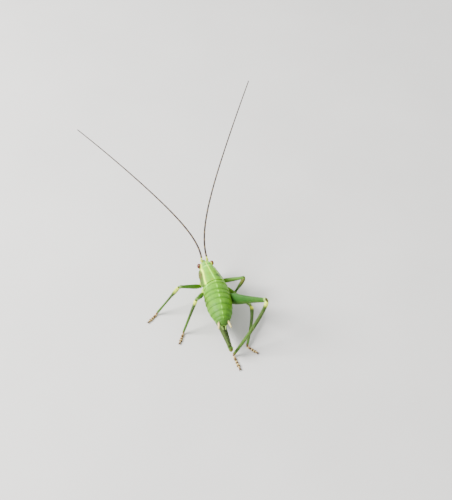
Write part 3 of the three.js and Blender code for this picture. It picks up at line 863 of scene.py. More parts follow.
def jaw_shell(sign):
    """A jaw, green above and dark at the biting edge, which leans to the middle."""
    x, y, z = ball_angles(30, 36)
    wide, deep, tall = (radius - 0.02 for radius in JAW.radii)
    low = smooth(-z, -0.2, 1.0)
    side = JAW.side * sign + x * wide * (1 - 0.35 * low) - 0.12 * sign * low
    station = JAW.station - y * deep * (1 - 0.25 * low)
    shade = painted("lime", ("foot", smooth(-z, 0.0, 0.5)), ("umber", 0.9 * smooth(-z, 0.4, 0.75)))
    return Shell(on_trunk(station, side, JAW.height + z * tall), shade, (0, 0, -1))


def scape_ends(feeler):
    root = on_trunk(SCAPE.station, SCAPE.side * feeler.side, SCAPE.height)
    return root, root + aim(feeler.scape, SCAPE.rise) * SCAPE.length


def scape_shells(feeler):
    """A feeler's thick root and the small collar that follows it."""
    root, end = scape_ends(feeler)
    split = root + (end - root) * 0.7
    thick = [[0, 0.24], [0.2, 0.31], [0.8, 0.3], [1, 0.22]]
    collar = [[0, 0.16], [0.3, 0.23], [0.75, 0.23], [1, 0.17]]
    lie = unit(end - root)
    rings, at, _ = limb(root, split, thick, rows=26, columns=28)
    shade = painted("scape", ("cream", 0.45 * (1 - at)), ("ochre", 0.35 * smooth(at, 0.8, 1.0)))
    first = Shell(rings, shade, lie, 0.5)
    rings, at, _ = limb(split - (end - root) * 0.06, end, collar, rows=18, columns=24)
    shade = painted("cream", ("scape", 0.4), ("ochre", 0.6 * smooth(at, 0.6, 1.0)))
    return first, Shell(rings, shade, lie, 0.5)


def palp_shells(joints, side):
    """The joints of a palp, from the mouth outwards, and the pale tip of the last."""
    points = [on_trunk(station, out * side, height) for station, out, height in joints]
    shells = []
    for near, far in zip(points, points[1:]):
        wide, tip = (0.19, 0.17) if far is points[-1] else (0.17, 0.15)
        profile = [[0, 0.11], [0.2, 0.15], [0.75, wide], [1, tip]]
        rings, at, _ = limb(near + (near - far) * 0.1, far, profile, rows=20, columns=18)
        shade = painted("lime", ("cream", 0.5 * smooth(at, 0.7, 1.0)))
        shells.append(Shell(rings, shade, unit(far - near), 0.6))
    return shells


# ---- limbs ----


def limb(start, end, profile, flat=1.0, bow=0.0, sag=0.0, rows=48, columns=28, ridged=0.0):
    """Rings of a limb with rounded ends; also how far along and how far around each point is."""
    along = end - start
    length = np.linalg.norm(along)
    along = along / length
    across = unit(np.cross(along, UP))
    top = np.cross(across, along)
    at = (0.5 - 0.5 * np.cos(np.linspace(0.02, 1 - 0.02, rows) * math.pi))[:, None]
    around = np.linspace(0, 2 * math.pi, columns, endpoint=False)[None, :]
    radius = curve_through(profile, at)[..., 0]
    ends = np.minimum(at, 1 - at) * length
    blunt = np.where(at < 0.5, profile[0][1], profile[-1][1])
    radius = radius * np.sqrt(1 - (1 - np.clip(ends / blunt, 0, 1)) ** 2)
    radius = radius * (1 + ridged * np.cos(4 * around))
    bend = np.sin(math.pi * at ** BOW_PEAK)
    x = radius * np.sin(around) * flat - bow * bend
    z = radius * np.cos(around) - sag * bend
    points = start + along * (at * length)[..., None] + across * x[..., None] + top * z[..., None]
    return points, at, around


def leg_joints(leg):
    """Where a leg's joints are, and the way that its femur, tibia and foot point."""
    pair = PAIRS[leg.pair]
    station, side, height = leg.hip
    back, inward, lift = SOCKET_SHIFT
    hip = on_trunk(station, side * leg.side, height)
    socket = on_trunk(station + back, (side + inward) * leg.side, height + lift)
    knee = hip + aim(*leg.femur) * pair.femur
    root = knee + np.array(leg.folded)
    shin = aim(leg.tibia, math.degrees(math.asin((ANKLE_HEIGHT - root[2]) / pair.tibia)))
    ankle = root + shin * pair.tibia
    return SimpleNamespace(
        pair=pair, hip=hip, socket=socket, knee=knee, root=root, ankle=ankle,
        sole=np.array([ankle[0], ankle[1], SOLE_HEIGHT]),
        thigh=unit(knee - hip), shin=shin, heading=aim(leg.tarsus))


def femur_shell(leg, joints):
    """A femur: four blunt edges, and a pale knee with a dark crescent over its end."""
    rings, at, around = limb(joints.hip, joints.knee, joints.pair.femur_profile, joints.pair.flat,
                             rows=60, columns=32, ridged=0.035)
    above = np.cos(around)
    left = (1 - at) * joints.pair.femur
    size = 1.1 if leg.pair == "hind" else 1.0
    knee = leg.pale * (1 - smooth(left, 0.35 * size, 0.95 * size)) * smooth(above, -0.5, 0.2)
    crescent = leg.ring * (1 - smooth(left, 0.16 * size, 0.28 * size))
    crescent = crescent * smooth(above, -0.9, -0.3)
    if leg.pair == "hind":
        # The tucked left hind femur is painted dark green-brown: painted shade, as it lies in the
        # abdomen's shadow.
        in_painted_shade = leg.pale == 0
        shade = painted(
            "thigh",
            ("thigh_low", smooth(-above, -0.2, 0.5)),
            ("lime", 0.5 * (1 - smooth(at, 0.05, 0.3))),
            ("deep", 0.4 * ridge(above, 0.93, 0.06)),
            ("thigh_low", 0.25 * smooth(at, 0.5, 0.8)),
            ("deep", 0.8 * in_painted_shade),
            ("umber", 0.45 * in_painted_shade),
            ("knee", knee),
            ("umber", crescent),
        )
    else:
        shade = painted(
            "femur",
            ("thigh_low", 0.3 * smooth(-above, -0.2, 0.8)),
            ("deep", 0.4 * ridge(above, 0.95, 0.1)),
            ("lime", 0.75 * (1 - smooth(at, 0.05, 0.45))),
            ("knee", knee),
            ("umber", 0.8 * crescent),
        )
    return Shell(rings, shade, joints.thigh, 1.0)


def tibia_rings(leg, joints):
    return limb(joints.root, joints.ankle, joints.pair.tibia_profile, bow=leg.bow, sag=leg.sag,
                rows=64, columns=24, ridged=0.05)


def tibia_shell(leg, joints):
    """A tibia: a dark line and a cream patch at its root, hearing pits in the front ones."""
    rings, at, around = tibia_rings(leg, joints)
    along = at * joints.pair.tibia
    above = np.cos(around)
    front = 1.0 if leg.pair == "front" else 0.0
    bare = 0.0 if leg.patch else 1.0
    line = leg.ring * (1 - smooth(along, 0.14, 0.26))
    patch_end = 1 - smooth(along, 0.1 + 0.9 * leg.patch, 0.7 + 1.5 * leg.patch)
    patch = smooth(along, 0.16, 0.32) * patch_end * (leg.patch > 0)
    pit = ridge(along, 1.15, 0.3) * ridge(np.abs(np.sin(around)), 1.0, 0.12) * front
    rings = rings - (0.07 * pit)[..., None] * unit(rings - rings.mean(1, keepdims=True))
    shade = painted(
        "shin",
        ("femur", 0.5 * smooth(at, 0.35, 0.7)),
        ("deep", 0.45 * ridge(above, 0.0, 0.3)),
        ("ochre", 0.3 * (1 - smooth(along, 1.2, 2.4)) * smooth(-above, -0.2, 0.5)),
        ("ochre", 0.3 * bare * (1 - smooth(along, 1.0, 2.2))),
        ("cream", patch * (0.95 - 0.25 * front - 0.45 * front * smooth(-above, 0.0, 0.6))),
        ("ochre", 0.4 * patch * ridge(np.sin(9 * along + 2 * above), 1.0, 0.5)),
        ("umber", line),
        ("umber", 0.35 * pit),
        ("foot", 0.75 * smooth(at, 0.93, 1.0)),
    )
    return Shell(rings, shade, joints.shin, 1.0)


def knee_lobes(leg, joints):
    """The two small lobes of a femur's end that hold the tibia's root."""
    thigh = joints.thigh
    across = unit(np.cross(thigh, UP))
    size = joints.pair.femur_profile[-1][1]
    reach = size * 0.36
    down = unit(joints.shin - thigh * np.dot(joints.shin, thigh))
    shells = []
    for side in (-1, 1):
        middle = joints.knee + across * side * size * joints.pair.flat * 0.72 + down * size * 0.25
        start = middle - down * size * 0.5 - thigh * size * 0.6
        end = middle + down * size * 0.62 + thigh * size * 0.1
        profile = [[0, reach * 0.7], [0.5, reach], [1, reach * 0.7]]
        rings, at, _ = limb(start, end, profile, rows=18, columns=18)
        shade = painted("femur", ("knee", leg.pale), ("umber", leg.ring * smooth(at, 0.55, 0.85)))
        shells.append(Shell(rings, shade, thigh, 0.3))
    return shells


def foot_shells(joints):
    """The ankle and the foot's four joints, the third a broad heart and the last slender."""
    heading, length = joints.heading, joints.pair.tarsus
    rings, at, _ = limb(joints.ankle + UP * 0.1, joints.sole + heading * 0.12,
                        [[0, 0.24], [1, 0.26]], rows=10, columns=18)
    shells = [Shell(rings, painted("foot", ("umber", 0.3 * at)), heading, 0.5)]
    for i, (near, far, radius, flat) in enumerate(FOOT_JOINTS):
        lift = UP * (0.06 if i == LAST_JOINT else 0.0)
        tip = 0.95 if i == HEART_JOINT else 0.8
        profile = [[0, radius * 0.6], [0.35, radius * 0.85], [0.8, radius], [1, radius * tip]]
        rings, at, around = limb(joints.sole + heading * near * length + lift,
                                 joints.sole + heading * far * length + lift * 0.5,
                                 profile, flat, rows=24, columns=20)
        # Each sole pad sits a hair higher than the one before, so that none share a plane.
        rings[..., 2] = np.maximum(rings[..., 2], 0.004 * i)
        shade = painted(
            "cercus",
            ("foot", 0.85 * smooth(at, 0.22, 0.55)),
            ("umber", 0.85 * smooth(at, 0.6, 0.85)),
            ("cercus", 0.5 * smooth(-np.cos(around), 0.2, 0.8)),
        )
        shells.append(Shell(rings, shade, heading, 1.4))
    return shells


def leg_layers(leg):
    """A leg's shells in three layers, neighbours always in different ones."""
    joints = leg_joints(leg)
    inside = joints.socket + ROOT_DEPTH * (joints.socket - joints.hip)
    rings, at, _ = limb(inside, joints.hip, COXA_PROFILE, rows=30, columns=26)
    shade = painted("lime", ("belly", 0.5), ("cream", 0.4 * ridge(at, 0.55, 0.2)))
    coxa = Shell(rings, shade, joints.thigh, 0.3)
    broad = joints.pair.femur_profile[0][1] * 1.12
    rings, at, _ = limb(
        joints.hip - joints.thigh * broad * 1.1, joints.hip + joints.thigh * broad * 1.3,
        [[0, broad * 0.8], [0.5, broad], [1, broad * 0.8]], rows=18, columns=26)
    collar = Shell(rings, painted("lime", ("cream", 0.35 * at)), joints.thigh, 0.4)
    feet = foot_shells(joints)
    return (
        [collar, tibia_shell(leg, joints), feet[1], feet[3]],
        [coxa, femur_shell(leg, joints), feet[2], feet[4]],
        [*knee_lobes(leg, joints), feet[0]],
    )


def claw_shell(path):
    """A tapering hook along a path."""
    along = unit(np.gradient(path, axis=0))
    across = unit(np.cross(along, UP))
    top = np.cross(across, along)
    t = np.linspace(0, 1, len(path))
    size = CLAW_RADIUS * (1 - t ** 1.5 * 0.93) * np.sqrt(np.clip(t / 0.08, 0.3, 1))
    around = np.linspace(0, 2 * math.pi, 12, endpoint=False)[None, :, None]
    points = path[:, None] + size[:, None, None] * (
        np.sin(around) * across[:, None] + np.cos(around) * top[:, None])
    points[..., 2] = np.maximum(points[..., 2], 0.01)
    return Shell(points, colour("umber"), along[:, None])


def claw_shells(leg):
    """The pair of claws at the end of a foot, curving outwards and down."""
    joints = leg_joints(leg)
    heading, length = joints.heading, joints.pair.tarsus
    across = np.cross(heading, UP)
    t = np.linspace(0, 1, 16)[:, None]
    shells = []
    for side in (-1, 1):
        near = joints.sole + heading * CLAW.start * length + UP * 0.05 + across * side * 0.04
        tip = joints.sole + heading * length + across * side * CLAW.spread
        tip = tip + UP * (CLAW.drop - 0.05)
        bend = (near + tip) / 2 + UP * 0.14 + across * side * 0.1 + heading * 0.06
        shells.append(claw_shell((1 - t) ** 2 * near + 2 * t * (1 - t) * bend + t ** 2 * tip))
    return shells


def tail_shells(side):
    """A cercus and a valve, trailing from the end of the abdomen."""
    shells = []
    for spec in (CERCUS, VALVE):
        root = on_trunk(spec.station, spec.side * side, spec.height)
        back = aim(180 - spec.aim[0] * side, spec.aim[1])
        rings, at, around = limb(root - back * 0.3, root + back * spec.length, spec.profile,
                                 spec.flat, rows=34, columns=24)
        above = np.cos(around)
        if spec is CERCUS:
            shade = painted(
                "cercus",
                ("umber", 0.7 * smooth(at, 0.93, 1.0)),
                ("foot", 0.75 * ridge(above, 0.0, 0.4)),
                ("deep", 0.6 * (1 - smooth(at, 0.2, 0.36))),
            )
        else:
            shade = painted(
                "belly",
                ("leaf", 0.7 * (1 - smooth(at, 0.3, 0.9))),
                ("lobe", 0.4 * smooth(at, 0.7, 1.0)),
                ("deep", 0.5 * ridge(above, -0.1, 0.12)),
            )
        shells.append(Shell(rings, shade, back, spec.hairs))
    return shells


# ---- materials ----


def new_material(name, base, roughness, finish=None):
    """A material with a Principled shader, and that shader and its tree to build on."""
    material = bpy.data.materials.new(name)
    material.use_nodes = True
    tree = material.node_tree
    shader = tree.nodes["Principled BSDF"]
    given = {"Base Color": (*base, 1.0), "Roughness": roughness, **(finish or {})}
    for key, value in given.items():
        shader.inputs[key].default_value = value
    return material, tree, shader


def patchy(tree, size_mm, noise, values, detail=2.0, roughness=0.5):
    """Patches size_mm across, fixed to the object: a range of noise spread over some values."""
    cloud = add_node(tree, "ShaderNodeTexNoise", {
        "Vector": add_node(tree, "ShaderNodeTexCoord")["Object"],
        "Scale": 1 / (size_mm * MM), "Detail": detail, "Roughness": roughness,
    })["Fac"]
    return add_node(tree, "ShaderNodeMapRange", {
        "Value": cloud, "From Min": noise[0], "From Max": noise[1],
        "To Min": values[0], "To Max": values[1],
    })["Result"]


def mottled(tree, hue, *pattern, **kind):
    """A colour made lighter and darker in patches."""
    return add_node(tree, "ShaderNodeVectorMath", {
        0: hue, "Scale": patchy(tree, *pattern, **kind),
    }, operation="SCALE")[0]


def cuticle(name, roughness, pit_mm, pit_depth_mm):
    """Insect cuticle: thin, waxy and a little glossy, mottled and finely pitted."""
    material, tree, shader = new_material(name, linear("#79b03a"), roughness, {
        "Specular IOR Level": 0.13, "Subsurface Weight": 0.12,
        "Subsurface Radius": (0.5, 1.0, 0.25), "Subsurface Scale": 0.0005,
    })
    hue = add_node(tree, "ShaderNodeAttribute", attribute_name="tint")["Color"]
    hue = mottled(tree, hue, 0.9, (0.3, 0.7), (0.86, 1.12), detail=4.0, roughness=0.6)
    hue = mottled(tree, hue, 0.16, (0.58, 0.7), (1.0, 0.78))
    tree.links.new(hue, shader.inputs["Base Color"])
    sheen = patchy(tree, 0.5, (0.3, 0.7), (roughness - 0.07, roughness + 0.1))
    tree.links.new(sheen, shader.inputs["Roughness"])
    pits = add_node(tree, "ShaderNodeTexVoronoi", {
        "Vector": add_node(tree, "ShaderNodeTexCoord")["Object"],
        "Scale": 1 / (pit_mm * MM),
    })["Distance"]
    bump = add_node(tree, "ShaderNodeBump", {
        "Height": pits, "Distance": pit_depth_mm * MM, "Strength": 0.6,
    })
    tree.links.new(bump["Normal"], shader.inputs["Normal"])
    return material


def cornea():
    """Cornea of a compound eye: clear, hard and glossy over red-brown pigment and a cream inner
    side, partly pale pigment and partly a painted highlight.
    """
    material, tree, shader = new_material("eye cornea", colour("eye"), 0.18, {
        "Coat Weight": 0.5, "Coat Roughness": 0.08,
    })
    tint = add_node(tree, "ShaderNodeAttribute", attribute_name="tint")["Color"]
    hue = mottled(tree, tint, 0.25, (0.35, 0.65), (0.75, 1.25), detail=3.0)
    tree.links.new(hue, shader.inputs["Base Color"])
    return material


def eye_tint_and_highlight(mesh, sign):
    """Tints an eye's lenses: red-brown outwards, and cream towards the crown that is partly pale
    pigment and partly a painted highlight.
    """
    centre = on_trunk(EYE.station, EYE.side * sign, EYE.height)
    out = unit(on_trunk(EYE.station, (EYE.side + 1) * sign, EYE.height) - centre)
    forward = unit(on_trunk(EYE.station - 1, EYE.side * sign, EYE.height) - centre)
    place = np.empty(3 * len(mesh.vertices), np.float32)
    mesh.vertices.foreach_get("co", place)
    vertex = np.empty(len(mesh.loops), np.int32)
    mesh.loops.foreach_get("vertex_index", vertex)
    away = (place.reshape(-1, 3) / MM - centre)[vertex]
    facing = away @ out / EYE.radii[0] + 0.45 * (away @ forward) / EYE.radii[1]
    # The cream inner side: partly pale pigment, partly a painted highlight.
    hue = painted("eye", ("cream", 0.8 * (1 - smooth(facing, -0.72, -0.42))))
    set_attribute(mesh, "tint", "FLOAT_COLOR", "CORNER", np.insert(hue, 3, 1.0, axis=1))


def feeler_cuticle():
    """Cuticle of a feeler: dark, matt, with a pale ring every few joints near the root."""
    material, tree, shader = new_material("feeler cuticle", colour("feeler"), 0.5)
    place = add_node(tree, "ShaderNodeAttribute", attribute_name="along")["Fac"]
    turn = add_node(tree, "ShaderNodeMath", {
        0: place, 1: 2 * math.pi * FEELER_BANDS,
    }, operation="MULTIPLY")[0]
    wave = add_node(tree, "ShaderNodeMath", {0: turn}, operation="SINE")[0]
    ring = add_node(tree, "ShaderNodeMapRange", {
        "Value": wave, "From Min": 0.45, "From Max": 0.85,
    })["Result"]
    fade = add_node(tree, "ShaderNodeMapRange", {
        "Value": place, "From Min": 0.25, "From Max": 0.9, "To Min": 0.75, "To Max": 0.3,
    })["Result"]
    amount = add_node(tree, "ShaderNodeMath", {0: ring, 1: fade}, operation="MULTIPLY")[0]
    hue = add_node(tree, "ShaderNodeMix", {
        "Factor": amount, 6: (*colour("feeler"), 1.0), 7: (*colour("feeler_ring"), 1.0),
    }, data_type="RGBA")[2]
    hue = mottled(tree, hue, 0.4, (0.3, 0.7), (0.85, 1.15))
    tree.links.new(hue, shader.inputs["Base Color"])
    return material


def tanned(name, key, roughness):
    """Tanned cuticle of claws, spines and jaw tips: hard, dark and glossy, mottled by growth."""
    material, tree, shader = new_material(name, colour(key), roughness)
    hue = mottled(tree, colour(key), 0.12, (0.3, 0.7), (0.7, 1.3))
    tree.links.new(hue, shader.inputs["Base Color"])
    return material


def hair_keratin():
    """Hairs: fine, clear and pale, taking some of the colour of the skin at their roots."""
    material, tree, shader = new_material("fine hairs", colour("hair"), 0.45)
    tint = add_node(tree, "ShaderNodeAttribute", attribute_name="tint")["Color"]
    hue = add_node(tree, "ShaderNodeMix", {
        "Factor": 0.55, 6: tint, 7: (*colour("hair"), 1.0),
    }, data_type="RGBA")[2]
    tree.links.new(hue, shader.inputs["Base Color"])
    return material


def plaster():
    """Floor of fine matt plaster."""
    material, tree, shader = new_material("matt plaster", colour("floor"), 0.9)
    hue = mottled(tree, colour("floor"), 30.0, (0.3, 0.7), (0.97, 1.03), detail=3.0)
    tree.links.new(hue, shader.inputs["Base Color"])
    return material


# ---- geometry trees ----


class GeometryTree:
    """A Geometry Nodes tree with named inputs, ending in Realize Instances and Set Material."""

    def __init__(self, name, inputs):
        self.tree = bpy.data.node_groups.new(name, "GeometryNodeTree")
        face = self.tree.interface
        face.new_socket(name="Geometry", in_out="OUTPUT", socket_type="NodeSocketGeometry")
        kinds = {"Geometry": "Geometry", "Material": "Material", "Seed": "Int", "Count": "Int"}
        self.values = {}
        for key, value in {"Geometry": None, **inputs, "Material": None}.items():
            kind = kinds.get(key, "Float")
            socket = face.new_socket(name=key, in_out="INPUT", socket_type=f"NodeSocket{kind}")
            self.values[key] = (socket.identifier, value)
        self.given = add_node(self.tree, "NodeGroupInput")

    def end(self, geometry, above_floor=False):
        """Realizes what the tree made, keeps it above the floor if asked, and coats it."""
        tree = self.tree
        geometry = add_node(tree, "GeometryNodeRealizeInstances", {0: geometry})[0]
        if above_floor:
            place = add_node(tree, "ShaderNodeVectorMath", {
                0: add_node(tree, "GeometryNodeInputPosition")[0], 1: (-10.0, -10.0, 0.0),
            }, operation="MAXIMUM")[0]
            geometry = add_node(tree, "GeometryNodeSetPosition", {
                "Geometry": geometry, "Position": place,
            })[0]
        coated = add_node(tree, "GeometryNodeSetMaterial", {
            "Geometry": geometry, "Material": self.given["Material"],
        })[0]
        add_node(tree, "NodeGroupOutput", {0: coated})
        return self

    def applied(self, thing, material, name):
        """The plain mesh that the tree makes of an object's mesh, on the same object."""
        modifier = thing.modifiers.new(self.tree.name, "NODES")
        modifier.node_group = self.tree
        for key, (identifier, value) in self.values.items():
            if key == "Material":
                modifier[identifier] = material
            elif key != "Geometry":
                modifier[identifier] = value
        return finished_mesh(thing, name)


def eye_tree():
    """Turns a ball of triangles into six-sided lenses, each standing a little proud."""
    made = GeometryTree("eye lenses", {"Lens height": sizes().lens_height, "Lens crown": 0.68})
    tree, given = made.tree, made.given
    cells = add_node(tree, "GeometryNodeDualMesh", {0: given["Geometry"]})[0]
    raised = add_node(tree, "GeometryNodeExtrudeMesh", {
        "Mesh": cells, "Offset Scale": given["Lens height"], "Individual": True,
    }, mode="FACES")
    crown = add_node(tree, "GeometryNodeScaleElements", {
        "Geometry": raised["Mesh"], "Selection": raised["Top"], "Scale": given["Lens crown"],
    }, domain="FACE")[0]
    return made.end(crown)


def ring_tree(count):
    """Strings barrel-shaped rings along a line, thinner towards its end."""
    made = GeometryTree("feeler rings", {
        "Count": count, "Root radius": sizes().feeler_root, "Tip radius": sizes().feeler_tip,
    })
    tree, given = made.tree, made.given
    line = add_node(tree, "GeometryNodeMeshToCurve", {"Mesh": given["Geometry"]})[0]
    line = add_node(tree, "GeometryNodeResampleCurve", {
        "Curve": line, "Count": given["Count"],
    })[0]
    line = add_node(tree, "GeometryNodeStoreNamedAttribute", {
        "Geometry": line, "Name": "along",
        "Value": add_node(tree, "GeometryNodeSplineParameter")["Factor"],
    }, data_type="FLOAT", domain="POINT")[0]
    spots = add_node(tree, "GeometryNodeCurveToPoints", {"Curve": line}, mode="EVALUATED")
    # A barrel: a cylinder drawn in at both ends by the square of the height.
    barrel = add_node(tree, "GeometryNodeMeshCylinder", {
        "Vertices": 8, "Side Segments": 3, "Radius": 1.0, "Depth": 1.12,
    })["Mesh"]
    place = add_node(tree, "GeometryNodeInputPosition")[0]
    high = add_node(tree, "ShaderNodeSeparateXYZ", {0: place})["Z"]
    drawn = add_node(tree, "ShaderNodeMath", {0: high, 1: high}, operation="MULTIPLY")[0]
    drawn = add_node(tree, "ShaderNodeMath", {0: drawn, 1: 0.35}, operation="MULTIPLY")[0]
    wide = add_node(tree, "ShaderNodeMath", {0: 1.0, 1: drawn}, operation="SUBTRACT")[0]
    place = add_node(tree, "ShaderNodeVectorMath", {
        0: place,
        1: add_node(tree, "ShaderNodeCombineXYZ", {"X": wide, "Y": wide, "Z": 1.0})[0],
    }, operation="MULTIPLY")[0]
    barrel = add_node(tree, "GeometryNodeSetPosition", {
        "Geometry": barrel, "Position": place,
    })[0]
    barrel = add_node(tree, "GeometryNodeSetShadeSmooth", {"Geometry": barrel})[0]
    # Each ring's size: the radius shrinks along the line, and the length is one even step.
    along = add_node(tree, "GeometryNodeInputNamedAttribute", {
        "Name": "along",
    }, data_type="FLOAT")["Attribute"]
    thin = add_node(tree, "ShaderNodeMath", {0: along, 1: 0.8}, operation="POWER")[0]
    radius = add_node(tree, "ShaderNodeMapRange", {
        "Value": thin, "To Min": given["Root radius"], "To Max": given["Tip radius"],
    })["Result"]
    step = add_node(tree, "ShaderNodeMath", {
        0: add_node(tree, "GeometryNodeCurveLength", {0: line})[0], 1: given["Count"],
    }, operation="DIVIDE")[0]
    size = add_node(tree, "ShaderNodeCombineXYZ", {"X": radius, "Y": radius, "Z": step})[0]
    return made.end(add_node(tree, "GeometryNodeInstanceOnPoints", {
        "Points": spots["Points"], "Instance": barrel, "Rotation": spots["Rotation"],
        "Scale": size,
    })[0])


def spine_tree(length):
    """Sets spines at even steps along rows; each row's points carry the way its spines lean."""
    made = GeometryTree("spine rows", {"Spine length": length, "Spacing": 0.00075, "Seed": 4})
    tree, given = made.tree, made.given
    rows = add_node(tree, "GeometryNodeMeshToCurve", {"Mesh": given["Geometry"]})[0]
    rows = add_node(tree, "GeometryNodeResampleCurve", {
        "Curve": rows, "Length": given["Spacing"],
    }, mode="LENGTH")[0]
    spots = add_node(tree, "GeometryNodeCurveToPoints", {"Curve": rows}, mode="EVALUATED")
    spine = add_node(tree, "GeometryNodeMeshCone", {
        "Vertices": 6, "Side Segments": 2, "Radius Top": 0.0, "Radius Bottom": 0.14, "Depth": 1.0,
    })["Mesh"]
    spine = add_node(tree, "GeometryNodeSetShadeSmooth", {"Geometry": spine})[0]
    lean = add_node(tree, "GeometryNodeInputNamedAttribute", {
        "Name": "lean",
    }, data_type="FLOAT_VECTOR")["Attribute"]
    turn = add_node(tree, "FunctionNodeAlignRotationToVector", {"Vector": lean}, axis="Z")[0]
    size = add_node(tree, "FunctionNodeRandomValue", {
        "Min": 0.75, "Max": 1.1, "Seed": given["Seed"],
    }, data_type="FLOAT")[1]
    size = add_node(tree, "ShaderNodeMath", {
        0: size, 1: given["Spine length"],
    }, operation="MULTIPLY")[0]
    return made.end(add_node(tree, "GeometryNodeInstanceOnPoints", {
        "Points": spots["Points"], "Instance": spine, "Rotation": turn, "Scale": size,
    })[0], above_floor=True)


def hair_tree():
    """Sets fine hairs over the skin, leaning the way its lie says, each mapped to its root."""
    made = GeometryTree("hairs over skin", {
        "Hairs per area": sizes().hair_count / MM ** 2, "Hair length": sizes().hair_length,
        "Seed": 11,
    })
    tree, given = made.tree, made.given
    tint = add_node(tree, "GeometryNodeInputNamedAttribute", {
        "Name": "tint",
    }, data_type="FLOAT_COLOR")["Attribute"]
    share = add_node(tree, "FunctionNodeSeparateColor", {"Color": tint})["Alpha"]
    density = add_node(tree, "ShaderNodeMath", {
        0: share, 1: given["Hairs per area"],
    }, operation="MULTIPLY")[0]
    spots = add_node(tree, "GeometryNodeDistributePointsOnFaces", {
        "Mesh": given["Geometry"], "Density": density, "Seed": given["Seed"],
    }, distribute_method="RANDOM")
    outward = add_node(tree, "ShaderNodeVectorMath", {
        0: spots["Normal"], "Scale": 0.75,
    }, operation="SCALE")[0]
    lie = add_node(tree, "GeometryNodeInputNamedAttribute", {
        "Name": "lie",
    }, data_type="FLOAT_VECTOR")["Attribute"]
    lean = add_node(tree, "ShaderNodeVectorMath", {0: outward, 1: lie}, operation="ADD")[0]
    turn = add_node(tree, "FunctionNodeAlignRotationToVector", {"Vector": lean}, axis="Z")[0]
    hair = add_node(tree, "GeometryNodeMeshCone", {
        "Vertices": 3, "Side Segments": 2, "Radius Top": 0.0, "Radius Bottom": HAIR_ROOT,
        "Depth": 1.0,
    })["Mesh"]
    hair = add_node(tree, "GeometryNodeStoreNamedAttribute", {
        "Geometry": hair, "Name": "on_hair",
        "Value": add_node(tree, "GeometryNodeInputPosition")[0],
    }, data_type="FLOAT_VECTOR", domain="POINT")[0]
    size = add_node(tree, "FunctionNodeRandomValue", {
        "Min": 0.45, "Max": 1.0, "Seed": given["Seed"],
    }, data_type="FLOAT")[1]
    size = add_node(tree, "ShaderNodeMath", {
        0: size, 1: given["Hair length"],
    }, operation="MULTIPLY")[0]
    hairs = add_node(tree, "GeometryNodeInstanceOnPoints", {
        "Points": spots["Points"], "Instance": hair, "Rotation": turn, "Scale": size,
    })[0]
    hairs = add_node(tree, "GeometryNodeRealizeInstances", {0: hairs})[0]
    # Each hair's patch of the map lies at its root's place on the skin's own map.
    on_hair = add_node(tree, "GeometryNodeInputNamedAttribute", {
        "Name": "on_hair",
    }, data_type="FLOAT_VECTOR")["Attribute"]
    own = add_node(tree, "ShaderNodeSeparateXYZ", {0: on_hair})
    shift = add_node(tree, "ShaderNodeCombineXYZ", {
        "X": add_node(tree, "ShaderNodeMath", {
            0: own["X"], 1: HAIR_PATCH / (2 * HAIR_ROOT),
        }, operation="MULTIPLY")[0],
        "Y": add_node(tree, "ShaderNodeMath", {
            0: own["Z"], 1: HAIR_PATCH,
        }, operation="MULTIPLY")[0],
    })[0]
    root = add_node(tree, "GeometryNodeInputNamedAttribute", {
        "Name": "unwrap",
    }, data_type="FLOAT_VECTOR")["Attribute"]
    spot = add_node(tree, "ShaderNodeVectorMath", {0: root, 1: shift}, operation="ADD")[0]
    return made.end(add_node(tree, "GeometryNodeStoreNamedAttribute", {
        "Geometry": hairs, "Name": "OFBake", "Value": spot,
    }, data_type="FLOAT2", domain="CORNER")[0], above_floor=True)


# ---- lines for the trees to follow ----


def feeler_route(feeler):
    """A feeler's route: its heading settles from one value to another as it goes."""
    point = scape_ends(feeler)[1]
    route = [point]
    for step in range(FEELER_STEPS):
        along = (step + 0.5) / FEELER_STEPS
        settling = math.exp(-along / feeler.over)
        heading = feeler.settles + (feeler.leaves - feeler.settles) * settling
        rise = feeler.rise[0] + (feeler.rise[1] - feeler.rise[0]) * along
        point = point + aim(heading, rise) * feeler.length / FEELER_STEPS
        route.append(point)
    return np.array(route)


def line_mesh(name, lines):
    """A mesh of lines only."""
    mesh = bpy.data.meshes.new(name)
    edges = []
    count = 0
    for line in lines:
        edges += [(count + i, count + i + 1) for i in range(len(line) - 1)]
        count += len(line)
    mesh.from_pydata(np.vstack(lines) * MM, edges, [])
    return mesh


def spine_rows(leg):
    """Rows along a tibia's edges, each with the way that its spines lean."""
    joints = leg_joints(leg)
    rings, at, around = tibia_rings(leg, joints)
    rings = rings[(at[:, 0] > 0.16) & (at[:, 0] < 0.97)]
    found = []
    for angle in (40, 320, 140, 220) if leg.pair == "hind" else (140, 220):
        line = rings[:, round(angle / 360 * around.shape[1])]
        outward = unit(line - rings.mean(1))
        found.append((line, unit(outward + joints.shin * 0.9)))
    return found


# ---- operators ----


class CricketOperator:
    """What every operator of this add-on shares."""

    bl_options = {"REGISTER", "UNDO"}


